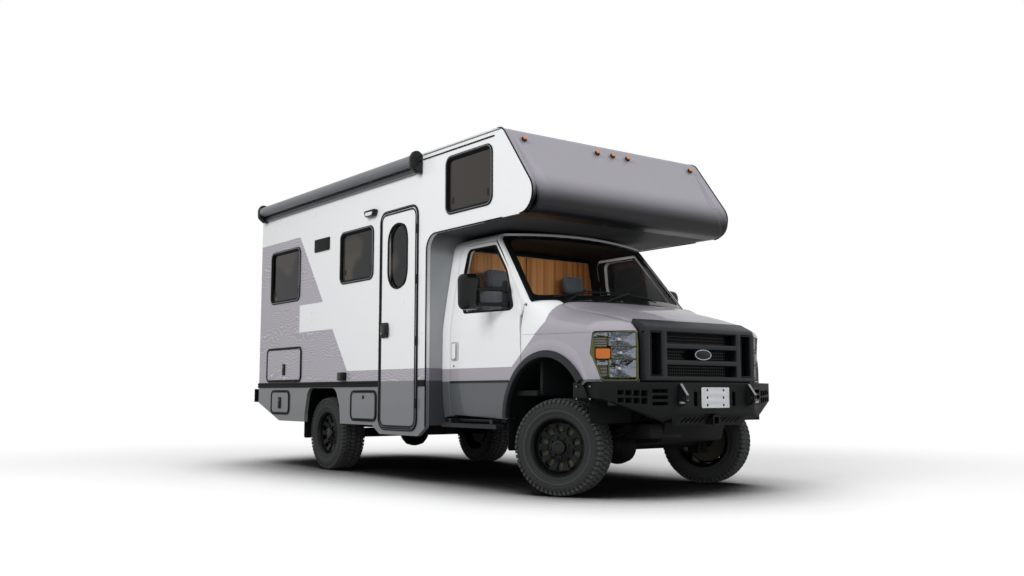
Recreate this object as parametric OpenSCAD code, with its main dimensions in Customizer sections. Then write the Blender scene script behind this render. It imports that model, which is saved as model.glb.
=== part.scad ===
// Cab-over motorhome on a van cutaway chassis, raised on solid axles with single rear wheels.
// X points forward, Y to the vehicle's left, Z up. The origin is on the ground under the middle
// of the vehicle. The front wheels stand steered to the left, as the vehicle is parked.

/* [Coach] */
// Width over the side walls
coach_w = 2360; // [2250:5:2450]
// Height of the roof over the ground
roof_z = 3063; // [2950:1:3200]
// Rear face of the coach
coach_rear_x = -3016; // [-3050:1:-2980]
// Front wall of the coach, behind the cab
front_wall_x = 725; // [715:1:735]
// Underside of the bunk over the cab
bunk_z = 2281; // [2275:1:2300]
// Where the roof meets the sloping nose
nose_top_x = 1900; // [1850:1:1950]
// Forward run of the nose slope for each unit of drop
nose_slope = 0.736; // [0.6:0.001:0.9]
// Thickness of the sandwich walls, roof and floor
wall_t = 40; // [30:1:45]
// Lower edge of the side skirts
skirt_z = 501; // [480:1:520]
// Top of the coach floor
floor_z = 902; // [890:1:910]

/* [Openings in the coach, each as low x, high x, low z, high z] */
// Window over the rear hatch
rear_window = [-2703, -1957, 1885, 2460]; // [-3000:1:3000]
// Window ahead of the rear wheel
mid_window = [-953, -285, 1980, 2487]; // [-3000:1:3000]
// Window of the bunk
bunk_window = [1068, 1743, 2440, 2930]; // [-3000:1:3000]
// Window of the rear wall, as y and z
back_window = [-520, 520, 1640, 2240]; // [-3000:1:3000]
// Entry door leaf
entry_leaf = [-95, 560, 490, 2575]; // [-3000:1:3000]
// Glass of the entry door
entry_pane = [47, 395, 1829, 2448]; // [-3000:1:3000]
// Hatch over the rub rail at the rear
upper_hatch = [-2770, -1876, 961, 1319]; // [-3000:1:3000]
// Hatch under the rub rail at the rear
lower_hatch = [-2626, -2168, 592, 830]; // [-3000:1:3000]
// Hatch between the rear wheel and the entry door
mid_hatch = [-673, -182, 556, 824]; // [-3000:1:3000]

/* [Running gear] */
// Distance between the axles
wheelbase = 3650; // [3500:5:3800]
// Front axle ahead of the origin
front_axle_x = 2293; // [2250:1:2350]
// Rolling diameter of a tyre
tyre_d = 772; // [740:1:800]
// Section width of a tyre
tyre_w = 285; // [240:1:290]
// Diameter of the bead seat
bead_d = 432; // [400:1:460]
// Distance between the rear tyres' mid planes
rear_track = 1960; // [1900:5:2000]
// Distance between the two kingpins
kingpin_span = 1600; // [1560:5:1640]
// Kingpin to the tyre's mid plane
kingpin_offset = 95; // [85:1:110]
// Angle at which the front wheels stand, to the left
rest_steer = 25; // [0:1:30]

/* [Cab] */
// Width of the cab at its waist
cab_w = 2000; // [1960:2:2030]
// Height of the waist
waist_z = 1440; // [1400:1:1480]
// Top of the cab roof
cab_roof_z = 2262; // [2250:1:2270]
// Lower edge of the doors and sills
sill_z = 590; // [580:1:620]
// Thickness of the cab's walls and panels
panel_t = 40; // [30:1:45]
// Thickness of a cab door
door_t = 60; // [50:1:70]
// Front end of the cab doors
door_front_x = 1918; // [1900:1:1930]
// Rear end of the cab doors
door_rear_x = 856; // [840:1:880]
// Radius of the front wheel arch
arch_r = 500; // [480:1:510]
// Gap round each door, hatch and lid
gap = 5; // [5:0.5:8]

/* [Hidden] */
half_w = coach_w / 2;
wall_y = half_w - wall_t;
tyre_r = tyre_d / 2;
rear_axle_x = front_axle_x - wheelbase;
half_cab = cab_w / 2;
arch = [front_axle_x - 30, 600];
rail_y = 430;
rail_z = [600, 780];
rail_x = [-2976, 2860];
rear_spring = 1350;
front_spring = 900;
screen_tilt = 41.9;
screen_r = 3000;
screen_base = [front_axle_x - 142, 0, 1600];
hood_rear_x = front_axle_x - 70;
hood_front_x = 2868;
grille_x = 3033;
bumper_x = 3153;
receiver_end = 3233;
hatch_out = 8;
hood_gap = 12;
$fn = 96;

// ---- Outlines with rounded corners -------------------------------------------------------

function unit(v) = v / norm(v);
function half_turn(a) = a > 180 ? a - 360 : (a < -180 ? a + 360 : a);

// Points of the arc of radius r that rounds corner b between its neighbours a and c
function corner_arc(a, b, c, r, n = 8) =
    let (u = unit(a - b), v = unit(c - b), half = acos(u * v) / 2)
    let (o = b + unit(u + v) * r / sin(half))
    let (p = b + u * r / tan(half) - o, q = b + v * r / tan(half) - o)
    let (a0 = atan2(p[1], p[0]), sweep = half_turn(atan2(q[1], q[0]) - a0))
    [for (i = [0:n]) o + r * [cos(a0 + sweep * i / n), sin(a0 + sweep * i / n)]];

// Corners are given as [x, y, radius]
function rounded(corners) =
    let (n = len(corners))
    [for (i = [0:n - 1])
        let (a = corners[(i + n - 1) % n], b = corners[i], c = corners[(i + 1) % n])
        each (b[2] > 0 ? corner_arc([a[0], a[1]], [b[0], b[1]], [c[0], c[1]], b[2]) : [[b[0], b[1]]])];

// A window or hatch given as [low x, high x, low z, high z], grown by g, with corner radius r
function opening(w, r, g = 0) = rounded([
    [w[0] - g, w[2] - g, r], [w[1] + g, w[2] - g, r], [w[1] + g, w[3] + g, r], [w[0] - g, w[3] + g, r]]);

// Extrudes an X-Z outline from y0 to y1
module along_y(y0, y1) {
    translate([0, y1, 0])
        rotate([90, 0, 0])
            linear_extrude(y1 - y0) children();
}

// Extrudes a Y-Z outline from x0 to x1
module along_x(x0, x1) {
    translate([x0, 0, 0])
        rotate([90, 0, 90])
            linear_extrude(x1 - x0) children();
}

module both_sides() {
    children();
    mirror([0, 1, 0]) children();
}

// A box between two corners
module span(low, high) {
    translate(low) cube(high - low);
}

// A round bar between two points that differ along one axis
module bar_y(x, y0, y1, z, r) {
    translate([x, y1, z]) rotate([90, 0, 0]) cylinder(r = r, h = y1 - y0);
}

module bar_x(x0, x1, y, z, r) {
    translate([x0, y, z]) rotate([0, 90, 0]) cylinder(r = r, h = x1 - x0);
}

// ---- Chassis -----------------------------------------------------------------------------

module chassis_frame() {
    color("#202224")
        both_sides() span([rail_x[0], rail_y - 70, rail_z[0]], [rail_x[1], rail_y, rail_z[1]]);
}

// Frame cross members, beams under the coach floor and spring hangers
module cross_members() {
    color("#202224") {
        for (x = [-2940, -2250, -1750, -950, -250, 400, 2700])
            span([x - 35, 70 - rail_y, rail_z[0] + 40], [x + 35, rail_y - 70, rail_z[1] - 40]);
        for (x = [-2900, -2000, -800, -240, 620])
            span(
                [x - 30, -wall_y + (x > -700 ? 500 : 40), rail_z[1]],
                [x + 30, wall_y - 40, floor_z - wall_t]
            );
        both_sides() for (end = [-1, 1]) {
            spring_hanger(rear_axle_x + end * rear_spring / 2, 610);
            spring_hanger(front_axle_x + end * front_spring / 2, 520);
        }
    }
}

module spring_hanger(x, y) {
    span([x - 25, rail_y, 590], [x + 25, y, 650]);
}

module engine_block() {
    color("#3a3c3e") span([2095, -260, 640], [2650, 260, 1150]);
}

// Gearbox, transfer case and the two propeller shafts
module driveline() {
    color("#4a4c4e") {
        bar_x(1350, 2090, 0, 660, 125);
        span([1000, -290, 560], [1345, 150, 800]);
        bar_x(-1130, 990, 0, 600, 40);
        bar_x(1355, 2100, -260, 520, 32);
    }
}

module fuel_tank() {
    color("#2b2d2f")
        along_y(-340, 340)
            polygon(rounded([[-2680, 430, 60], [-1900, 430, 60], [-1900, 630, 20], [-2680, 630, 20]]));
}

module exhaust() {
    color("#8d8f91") {
        bar_x(-600, 1300, 520, 560, 32);
        bar_x(-100, 520, 560, 540, 95);
    }
}

module solid_axle(x, half, diff_y) {
    bar_y(x, -half, half, tyre_r, 50);
    translate([x, diff_y, tyre_r]) rotate([90, 0, 0]) cylinder(r = 150, h = 160, center = true);
    translate([x, diff_y, tyre_r]) sphere(r = 165);
}

module front_axle() {
    color("#1d1f20") {
        solid_axle(front_axle_x, kingpin_span / 2 - 85, -260);
        both_sides() translate([front_axle_x, kingpin_span / 2 - 70, tyre_r])
            difference() {
                span([-60, -60, -105], [60, 60, 105]);
                span([-61, -20, -70], [61, 61, 70]);
            }
    }
}

module rear_axle() {
    color("#1d1f20") {
        solid_axle(rear_axle_x, rear_track / 2 - 70, 0);
        both_sides() translate([rear_axle_x, rear_track / 2 - 55, tyre_r])
            rotate([90, 0, 0]) cylinder(r = 150, h = 30);
    }
}

// One leaf spring: an arched pack of leaves with its eyes at both ends
module leaf_spring(x, length, y) {
    rise = 90;
    r = (length * length / 4 + rise * rise) / (2 * rise);
    half_a = asin(length / 2 / r);
    translate([x, y, tyre_r + 55 + r]) rotate([90, 0, 0])
        rotate([0, 0, -90 - half_a]) rotate_extrude(angle = 2 * half_a, $fn = 180)
            translate([r - 45, -40]) square([45, 80]);
}

module springs() {
    color("#17191a") {
        both_sides() leaf_spring(rear_axle_x, rear_spring, 560);
        both_sides() leaf_spring(front_axle_x, front_spring, 480);
    }
}

// ---- Coach -------------------------------------------------------------------------------

// Side view of the coach box, inset by t
module coach_profile(t, low_z) {
    slope_in = t * sqrt(1 + nose_slope * nose_slope);
    top = roof_z - t;
    bottom = bunk_z + t;
    polygon(rounded([
        [coach_rear_x + t, low_z, 0],
        [coach_rear_x + t, top, max(35 - t, 5)],
        [nose_top_x + nose_slope * t - slope_in, top, 123 - t],
        [nose_top_x + nose_slope * (roof_z - bottom) - slope_in, bottom, 168 - t],
        [front_wall_x - t, bottom, 150 + t],
        [front_wall_x - t, low_z, 0]
    ]));
}

// What the skirts leave away below: the raised rear corner, the wheel arch and the area
// under the front of the skirt
module skirt_cuts() {
    polygon([[-3100, 0], [-3100, 704], [-3016, 704], [-2422, skirt_z], [-2422, 0]]);
    polygon(rounded([
        [rear_axle_x - 410, 0, 0], [rear_axle_x - 404, 600, 80], [rear_axle_x - 330, 874, 120],
        [rear_axle_x + 320, 872, 130], [rear_axle_x + 410, 690, 80], [rear_axle_x + 436, skirt_z, 0],
        [rear_axle_x + 436, 0, 0]]));
    polygon([[-2500, 0], [-2500, skirt_z], [-250, skirt_z], [-107, 420], [593, 420], [755, 520], [755, 0]]);
}

module coach_side(extra_windows) {
    along_y(wall_y, half_w)
        difference() {
            coach_profile(0, 400);
            skirt_cuts();
            for (w = extra_windows) polygon(opening(w, 45));
        }
}

module coach_right_wall() {
    color("#e4e5e6")
        mirror([0, 1, 0])
            difference() {
                coach_side([rear_window, mid_window, bunk_window]);
                along_y(wall_y - 1, half_w + 1) polygon(opening(entry_leaf, 70, gap));
                for (h = [upper_hatch, lower_hatch, mid_hatch])
                    along_y(wall_y - 1, half_w + 1) polygon(opening(h, 35, gap));
            }
}

module coach_left_wall() {
    color("#e4e5e6") coach_side([rear_window, mid_window, bunk_window]);
}

// The part of the coach's ring of roof, walls and bunk that lies between the side walls
module coach_ring(low_z) {
    along_y(-wall_y, wall_y)
        difference() {
            coach_profile(0, low_z);
            coach_profile(wall_t, low_z - 10);
        }
}

module coach_roof() {
    color("#dcdee0")
        intersection() {
            coach_ring(700);
            span([coach_rear_x, -wall_y, roof_z - wall_t], [nose_top_x - 110, wall_y, roof_z]);
        }
}

module coach_rear_wall() {
    color("#e4e5e6")
        difference() {
            intersection() {
                coach_ring(704);
                span([coach_rear_x, -wall_y, 704], [coach_rear_x + wall_t, wall_y, roof_z - wall_t]);
            }
            along_x(coach_rear_x - 10, coach_rear_x + 60) polygon(opening(back_window, 45));
        }
}

module coach_floor() {
    color("#4b4d4f")
        difference() {
            span(
                [coach_rear_x + wall_t, -wall_y, floor_z - wall_t],
                [front_wall_x - wall_t, wall_y, floor_z]
            );
            span([entry_leaf[0] - 10, -wall_y - 1, floor_z - 60], [entry_leaf[1] + 10, -740, floor_z + 1]);
        }
}

// Wall between coach and cab, curving forward into the floor of the bunk
module coach_front_wall() {
    color("#8f9294")
        difference() {
            intersection() {
                coach_ring(520);
                span([front_wall_x - 250, -wall_y, 520], [nose_top_x + 170, wall_y, 2700]);
            }
            span([front_wall_x - 260, -wall_y - 1, 2400], [nose_top_x + 180, wall_y + 1, 2800]);
            span([front_wall_x - 260, -900, 500], [front_wall_x + 1, 900, 800]);
        }
}

// Moulded nose of the bunk
module front_cap() {
    color("#9c99a2")
        difference() {
            intersection() {
                coach_ring(700);
                span([nose_top_x - 110, -wall_y, 2270], [nose_top_x + 500, wall_y, roof_z]);
            }
            span([nose_top_x - 120, -wall_y - 1, 2200], [nose_top_x + 170, wall_y + 1, 2400]);
        }
}

// All fixed panes of the coach, each let into its opening
module coach_glass() {
    color("#15181a") {
        both_sides()
            for (w = [rear_window, mid_window, bunk_window])
                along_y(half_w - 24, half_w - 16) polygon(opening(w, 45, -0.5));
        along_x(coach_rear_x + 16, coach_rear_x + 24) polygon(opening(back_window, 45, -0.5));
    }
}

// A locker behind a hatch: five walls, open to the hatch
module locker(h, depth, margin) {
    difference() {
        span([h[0] - margin, -wall_y, h[2] - margin], [h[1] + margin, depth - wall_y, h[3] + margin]);
        span([h[0] - margin + 12, -wall_y - 1, h[2] - margin + 12],
             [h[1] + margin - 12, depth - wall_y - 12, h[3] + margin - 12]);
    }
}

module storage_boxes() {
    color("#7d8083") {
        locker(upper_hatch, 560, 22);
        locker(lower_hatch, 480, 22);
        locker(mid_hatch, 480, 22);
    }
}

// Step well under the entry door with its middle tread
module entry_step() {
    x0 = entry_leaf[0] - 8;
    x1 = entry_leaf[1] + 8;
    color("#2a2c2e")
        difference() {
            span([x0, -wall_y, 430], [x1, -740, floor_z]);
            span([x0 + 12, -wall_y - 1, 450], [x1 - 12, -930, floor_z + 1]);
            span([x0 + 12, -wall_y - 1, 680], [x1 - 12, -752, floor_z + 1]);
        }
}

module roof_units() {
    color("#e8e9ea") {
        along_y(-330, 330)
            polygon(rounded([
                [-1500, roof_z, 0], [-560, roof_z, 0], [-600, roof_z + 210, 60], [-1440, roof_z + 225, 90]]));
        span([-2500, -210, roof_z], [-2080, 210, roof_z + 70]);
        span([300, -210, roof_z], [720, 210, roof_z + 70]);
    }
}

// Roll-out awning: tube, wall rail and two end caps
module awning() {
    x0 = -2907;
    x1 = 653;
    z = 2990;
    color("#3f4346") {
        bar_x(x0 + 40, x1 - 40, -half_w - 68, z, 52);
        span([x0 + 40, -half_w - 40, z - 103], [x1 - 40, -half_w, z - 40]);
        for (x = [x0, x1 - 60])
            along_x(x, x + 60)
                polygon(rounded([
                    [-half_w, z + 98, 8], [-half_w - 80, z + 98, 55], [-half_w - 125, z + 10, 50],
                    [-half_w - 90, z - 105, 40], [-half_w, z - 105, 8]]));
    }
}

module rear_bumper() {
    color("#1b1d1e") {
        difference() {
            span([-3215, -1150, 709], [-3068, 1150, 867]);
            span([-3203, -1151, 721], [-3080, 1151, 855]);
        }
        both_sides() along_y(rail_y, rail_y + 12)
            polygon([[-3205, 709], [-3070, 709], [-3050, 700], [-2800, 700], [-2800, 620], [-3170, 620]]);
        difference() {
            union() {
                span([-receiver_end, -32, 570], [-2985, 32, 634]);
                span([-3080, -rail_y, 624], [-3030, rail_y, 690]);
            }
            span([-receiver_end - 1, -25.5, 576.5], [-2984, 25.5, 627.5]);
        }
    }
}

// ---- Cab ---------------------------------------------------------------------------------

// Front view of the cab, inset by t
module cab_section(t) {
    y_top = half_cab - 128;
    half = [
        [half_cab - 40 - t, 500], [half_cab - t, 850], [half_cab - t, waist_z],
        [y_top - t, 2180 - t], [y_top - 55 - t, 2238 - t], [0, cab_roof_z - t]
    ];
    polygon(concat(half, [for (i = [len(half) - 1:-1:0]) [-half[i][0], half[i][1]]]));
}

// Everything behind the windscreen's outer face, inset by t
module behind_screen(t) {
    translate(screen_base) rotate([0, -screen_tilt, 0]) translate([-screen_r, 0, -1500])
        cylinder(r = screen_r - t, h = 3000, $fn = 360);
}

// Outline of the windscreen in its own plane, inset by t
module screen_outline(t) {
    low = 917 - t;
    high = 830 - t;
    polygon(concat(
        [for (i = [-8:8]) [low * i / 8, 98 * pow(i / 8, 2) + t]],
        [for (i = [8:-1:-8]) [high * i / 8, 855 + 60 * pow(i / 8, 2) - t]]));
}

// The windscreen's outline pushed through the cab
module screen_prism(t) {
    translate(screen_base) rotate([0, -screen_tilt, 0]) translate([-500, 0, 0])
        rotate([90, 0, 90]) linear_extrude(800) screen_outline(t);
}

module cab_body(t) {
    intersection() {
        along_x(front_wall_x, hood_rear_x - 10 - t) cab_section(t);
        behind_screen(8 + t);
    }
}

module arch_cut(r) {
    translate([arch[0], 0, arch[1]]) rotate([90, 0, 0]) cylinder(r = r, h = 2 * cab_w, center = true);
}

// Side view of a cab door, grown by g
module door_outline(g) {
    difference() {
        polygon([
            [door_rear_x - g, sill_z - g], [door_rear_x - g, 2110], [door_rear_x + 45, 2172 + g],
            [1420 + g, 2172 + g], [1880 + g, 1580], [door_front_x + g, 1480], [door_front_x + g, sill_z - g]
        ]);
        translate(arch) circle(r = arch_r + 75 - g);
        translate([arch[0] - 300, 0]) square([900, arch[1]]);
    }
}

module door_window() {
    polygon(rounded([
        [1035, 1535, 40], [950, 1900, 0], [975, 2135, 60],
        [1400, 2135, 70], [1640, 1870, 0], [1800, 1520, 40]]));
}

module cab_shell() {
    color("#e6e7e8") {
        difference() {
            cab_body(0);
            intersection() {
                cab_body(panel_t);
                span([front_wall_x - 1, -half_cab, 840], [2040, half_cab, cab_roof_z]);
            }
            span([front_wall_x - 1, -820, 400], [2500, 820, 800]);
            span([front_wall_x - 1, -half_cab - 1, 300], [2500, half_cab + 1, sill_z]);
            span([2080, -half_cab - 1, 300], [2500, half_cab + 1, 1480]);
            span([door_front_x + gap, half_cab - 260, 300], [2500, half_cab + 1, 1700]);
            span([door_front_x + gap, -half_cab - 1, 300], [2500, 260 - half_cab, 1700]);
            arch_cut(arch_r + 10);
            screen_prism(45);
            along_y(-half_cab - 1, half_cab + 1) coach_profile(0, 400);
            both_sides() along_y(half_cab - door_t - gap - 40, half_cab + 10) door_outline(gap);
            both_sides() along_y(half_cab - 320, half_cab + 10)
                intersection() {
                    door_outline(gap);
                    translate([0, 1480]) square([2500, 800]);
                }
        }
    }
}

// Front end of the vehicle as one volume, inset by t: side view, plan and front view combined
module nose_body(t) {
    intersection() {
        along_y(-half_cab, half_cab)
            polygon([
                [door_front_x + gap, sill_z], [door_front_x + gap, 1580 - t], [screen_base[0], 1600 - t],
                [2493, 1528 - t], [2793, 1432 - t], [2940 - t, 1360 - t], [2985 - t, 1300], [2990 - t, 900],
                [2600, 900], [2600, sill_z]
            ]);
        translate([0, 0, 500]) linear_extrude(1400)
            polygon([
                [1800, half_cab - t], [2733, half_cab - t], [2800 - t, half_cab - 8 - t], [2960 - t, 700 - t],
                [2995 - t, 560], [2995 - t, -560], [2960 - t, t - 700], [2800 - t, 8 + t - half_cab],
                [2733, t - half_cab], [1800, t - half_cab]
            ]);
        along_x(1800, 3100) polygon([
            [half_cab - t, 500], [half_cab - t, 1300], [half_cab - 15 - t, 1370],
            [half_cab - 60 - t, 1440 - t],
            [half_cab - 145, 1505 - t], [half_cab - 320, 1560 - t], [0, 1602 - t],
            [320 - half_cab, 1560 - t], [145 - half_cab, 1505 - t], [60 + t - half_cab, 1440 - t],
            [15 + t - half_cab, 1370], [t - half_cab, 1300], [t - half_cab, 500]
        ]);
    }
}

// Plan of the hood, grown by g
module hood_plan(g) {
    polygon([
        [hood_rear_x - g, 790 + g], [2560, 770 + g], [hood_front_x + g, 640 + g],
        [hood_front_x + g, -640 - g], [2560, -770 - g], [hood_rear_x - g, -790 - g]
    ]);
}

module headlight_outline() {
    polygon([[655, 903], [655, 1300], [990, 1290], [1010, 1120], [930, 903]]);
}

module fenders() {
    color("#a3a0a8")
        difference() {
            nose_body(0);
            nose_body(panel_t);
            translate([0, 0, 1180]) linear_extrude(500) hood_plan(hood_gap);
            span([hood_front_x - 60, -655, 500], [3100, 655, 1500]);
            span([1800, -780, 500], [hood_rear_x + 100, 780, 1700]);
            both_sides() along_x(2690, 3100) headlight_outline();
            arch_cut(arch_r + 20);
            span([2600, -1100, 400], [3100, 1100, 900]);
            behind_screen(-14);
        }
}

module hood() {
    color("#a3a0a8")
        intersection() {
            difference() {
                nose_body(0);
                nose_body(panel_t);
            }
            translate([0, 0, 1180]) linear_extrude(500) hood_plan(0);
        }
}

// Flares over the front arches and the mud flaps of all four wheels
module wheel_arch_trim() {
    color("#1a1c1d") {
        both_sides() difference() {
            translate([arch[0], 1045, arch[1]]) rotate([90, 0, 0])
                rotate_extrude(angle = 180, $fn = 144)
                    polygon([
                        [arch_r, 0], [arch_r + 30, 0], [arch_r + 60, 22],
                        [arch_r + 60, 44.5], [arch_r, 44.5]]);
            span([2600, 900, 500], [3100, 1100, 898]);
        }
        both_sides() span([front_axle_x - 575, 800, 330], [front_axle_x - 563, 985, 590]);
        both_sides() span([rear_axle_x - 500, 850, 320], [rear_axle_x - 488, 1135, floor_z - wall_t]);
    }
}

module grille() {
    color("#1c1e1f")
        difference() {
            along_y(-640, 640)
                polygon([
                    [2890, 906], [grille_x, 906], [grille_x, 1300], [3018, 1327],
                    [2890, 1376], [2890, 1330], [2970, 1290],
                    [2970, 940], [2890, 940]]);
            for (z = [945, 1075, 1205]) span([2900, -410, z], [3100, 410, z + 90]);
            both_sides() span([2900, 465, 945], [3100, 592, 1295]);
        }
}

module headlights() {
    color("#cfd4d8")
        both_sides() difference() {
            intersection() {
                nose_body(3);
                along_x(2700, 3100) offset(delta = -4) headlight_outline();
            }
            nose_body(90);
        }
}

// Plate bumper with receiver and recovery tabs
module front_bumper() {
    color("#141617") {
        difference() {
            intersection() {
                translate([0, 0, 560]) linear_extrude(338) difference() {
                    bumper_plan(0);
                    bumper_plan(55);
                }
                along_x(2500, 3200) polygon([
                    [-1000, 898], [1000, 898], [1000, 785], [904, 743],
                    [453, 568], [-453, 568], [-904, 743], [-1000, 785]]);
                along_y(-1100, 1100)
                    polygon([[2500, 898], [bumper_x, 898], [bumper_x, 655], [3030, 565], [2500, 565]]);
            }
            both_sides() for (z = [720, 768, 816]) span([2900, 510, z], [3200, 630, z + 28]);
            both_sides() span([3000, 205, 712], [3200, 245, 825]);
            span([3000, -32.5, 567.5], [3200, 32.5, 632.5]);
        }
        difference() {
            span([2900, -32, 568], [3160, 32, 632]);
            span([2899, -25.5, 574.5], [3161, 25.5, 625.5]);
        }
        both_sides() difference() {
            along_y(388, 412) polygon(rounded([
                [3100, 700, 0], [3205, 722, 20], [3233, 760, 15],
                [3233, 800, 12], [3165, 885, 12], [3100, 885, 0]]));
            bar_y(3200, 380, 420, 778, 12);
        }
        both_sides() span([2860, rail_y - 70, 620], [3100, rail_y, 760]);
    }
}

module bumper_plan(t) {
    polygon([
        [2568, 985 - t], [2860, 975 - t], [2954 - t, 918 - t / 2], [bumper_x - t, 472 - t / 3],
        [bumper_x - t, t / 3 - 472], [2954 - t, t / 2 - 918], [2860, t - 975], [2568, t - 985]
    ]);
}

module windscreen() {
    color("#9fb4bd")
        intersection() {
            difference() {
                behind_screen(0);
                behind_screen(7);
            }
            screen_prism(0);
        }
}

module running_boards() {
    color("#1a1c1d")
        both_sides() {
            along_y(995, 1085)
                polygon(rounded([[850, 512, 12], [1700, 512, 12], [1680, 548, 12], [850, 548, 12]]));
            for (x = [930, 1560]) span([x, rail_y, 640], [x + 40, 800, 680]);
            for (x = [930, 1560]) span([x, 780, 548], [x + 40, 1060, 588]);
            for (x = [930, 1560]) span([x, 780, 588], [x + 40, 810, 680]);
        }
}

// Two bucket seats with headrests on pedestals
module cab_seats() {
    color("#5b5e62")
        both_sides() {
            span([1050, 300, 840], [1450, 660, 1080]);
            along_y(230, 730)
                polygon(rounded([[980, 1080, 40], [1530, 1080, 60], [1530, 1230, 60], [980, 1200, 40]]));
            along_y(245, 715)
                polygon(rounded([[1000, 1205, 30], [1130, 1205, 30], [950, 1800, 50], [840, 1800, 40]]));
            along_y(340, 620)
                polygon(rounded([[855, 1830, 30], [945, 1830, 30], [915, 2010, 40], [840, 2010, 35]]));
        }
}

// Dashboard across the cab with the steering wheel on its column
module dashboard() {
    color("#2a2c2f") {
        along_y(-900, 900)
            polygon(rounded([
                [1800, 1150, 30], [2035, 1100, 0], [2035, 1510, 0], [1960, 1520, 20], [1820, 1470, 60]]));
        translate([1700, 480, 1390]) rotate([0, -60, 0]) {
            rotate_extrude($fn = 96) translate([185, 0]) circle(r = 15, $fn = 32);
            for (a = [90, 210, 330]) rotate([0, 0, a]) translate([0, -14, -8]) cube([185, 28, 14]);
            cylinder(r = 60, h = 40, center = true);
            translate([0, 0, -170]) cylinder(r = 28, h = 170);
        }
    }
}

module cab_door() {
    difference() {
        intersection() {
            cab_body(0);
            along_y(500, half_cab + 10) door_outline(0);
        }
        cab_body(door_t);
        along_y(500, half_cab + 10) door_window();
    }
}

module cab_door_glass() {
    intersection() {
        difference() {
            cab_body(22);
            cab_body(28);
        }
        along_y(500, half_cab + 10) door_window();
    }
}

// Towing mirror: foot in the window corner, two arms and the head
module mirror_unit() {
    intersection() {
        difference() {
            cab_body(-25);
            cab_body(0);
        }
        along_y(800, 1100)
            polygon(rounded([[1690, 1490, 15], [1800, 1490, 20], [1780, 1640, 20], [1650, 1880, 10],
                [1640, 1860, 10]]));
    }
    for (z = [1570, 1700])
        hull() {
            translate([1740, half_cab + 20 - 0.173 * (z - waist_z), z]) sphere(r = 14, $fn = 24);
            translate([1535, 1165, z]) sphere(r = 14, $fn = 24);
        }
    hull() {
        for (z = [1570, 1800], y = [1170, 1293]) {
            translate([1490, y, z]) sphere(r = 40, $fn = 24);
            translate([1520, y - 20, z]) sphere(r = 35, $fn = 24);
        }
    }
    along_x(1448, 1470) polygon(opening([1135, 1333, 1520, 1850], 30));
}

module right_cab_door() {
    color("#e6e7e8") mirror([0, 1, 0]) cab_door();
}

module left_cab_door() {
    color("#e6e7e8") cab_door();
}

module right_door_glass() {
    color("#a7bac2") mirror([0, 1, 0]) cab_door_glass();
}

module left_door_glass() {
    color("#a7bac2") cab_door_glass();
}

module right_mirror() {
    color("#17191a") mirror([0, 1, 0]) mirror_unit();
}

module left_mirror() {
    color("#17191a") mirror_unit();
}

// ---- Doors and hatches of the coach ------------------------------------------------------

module hatch_leaf(h) {
    mirror([0, 1, 0]) along_y(wall_y + 10, half_w + hatch_out) polygon(opening(h, 30));
}

module entry_door() {
    color("#e4e5e6")
        difference() {
            mirror([0, 1, 0]) along_y(wall_y + 2, half_w + hatch_out) polygon(opening(entry_leaf, 65));
            mirror([0, 1, 0]) along_y(wall_y - 10, half_w + 20) polygon(opening(entry_pane, 110));
        }
}

module entry_door_glass() {
    color("#15181a")
        mirror([0, 1, 0]) along_y(half_w - 20, half_w - 12) polygon(opening(entry_pane, 110, -0.5));
}

module upper_rear_hatch() {
    color("#e4e5e6") hatch_leaf(upper_hatch);
}

module lower_rear_hatch() {
    color("#6e7174") hatch_leaf(lower_hatch);
}

module middle_hatch() {
    color("#6e7174") hatch_leaf(mid_hatch);
}

// ---- Wheels ------------------------------------------------------------------------------

// Half section of the tyre, turned about Z
module tyre_body() {
    r = tyre_r;
    w = tyre_w / 2;
    rotate_extrude($fn = 180)
        polygon(rounded([
            [bead_d / 2 + 1, w - 38, 0], [bead_d / 2 + 20, w - 37, 0], [r - 95, w, 60], [r - 5, w - 18, 28],
            [r, 0, 0],
            [r - 5, 18 - w, 28], [r - 95, -w, 60], [bead_d / 2 + 20, 37 - w, 0], [bead_d / 2 + 1, 38 - w, 0]
        ]));
}

// Rim with a dished face of ten windows, turned about Z with its face at +Z
module rim_body() {
    r = bead_d / 2;
    w = tyre_w / 2 - 26;
    rotate_extrude($fn = 144)
        polygon([
            [r - 12, -w], [r + 14, -w], [r + 14, 8 - w], [r, 12 - w],
            [r, w - 12], [r + 14, w - 8], [r + 14, w], [r - 12, w]]);
    difference() {
        translate([0, 0, w - 55]) cylinder(r = r - 8, h = 28, $fn = 144);
        for (i = [0:9])
            rotate([0, 0, 36 * i + 18]) translate([0, 0, w - 70])
                linear_extrude(60)
                    polygon(rounded([[112, -16, 10], [182, -32, 12], [182, 32, 12], [112, 16, 10]]));
    }
    cylinder(r = 85, h = w - 30, $fn = 96);
    translate([0, 0, w - 30]) cylinder(r = 52, h = 34, $fn = 96);
}

// Puts a wheel part on its axle; side is 1 on the left and -1 on the right
module at_front(side) {
    translate([front_axle_x, side * kingpin_span / 2, tyre_r]) rotate([0, 0, rest_steer])
        translate([0, side * kingpin_offset, 0]) rotate([-90 * side, 0, 0]) children();
}

module at_rear(side) {
    translate([rear_axle_x, side * rear_track / 2, tyre_r]) rotate([-90 * side, 0, 0]) children();
}

// Steering knuckle with its kingpin bosses and spindle
module knuckle(side) {
    translate([front_axle_x, side * kingpin_span / 2, tyre_r]) rotate([0, 0, rest_steer]) {
        cylinder(r = 38, h = 128, center = true);
        translate([0, side * 30, 0]) rotate([-90 * side, 0, 0]) cylinder(r = 62, h = 64);
        translate([-90, side * 10, -40]) span([-60, -15, -12], [70, 15, 12]);
    }
}

module right_knuckle() {
    color("#2c2e30") knuckle(-1);
}

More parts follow.
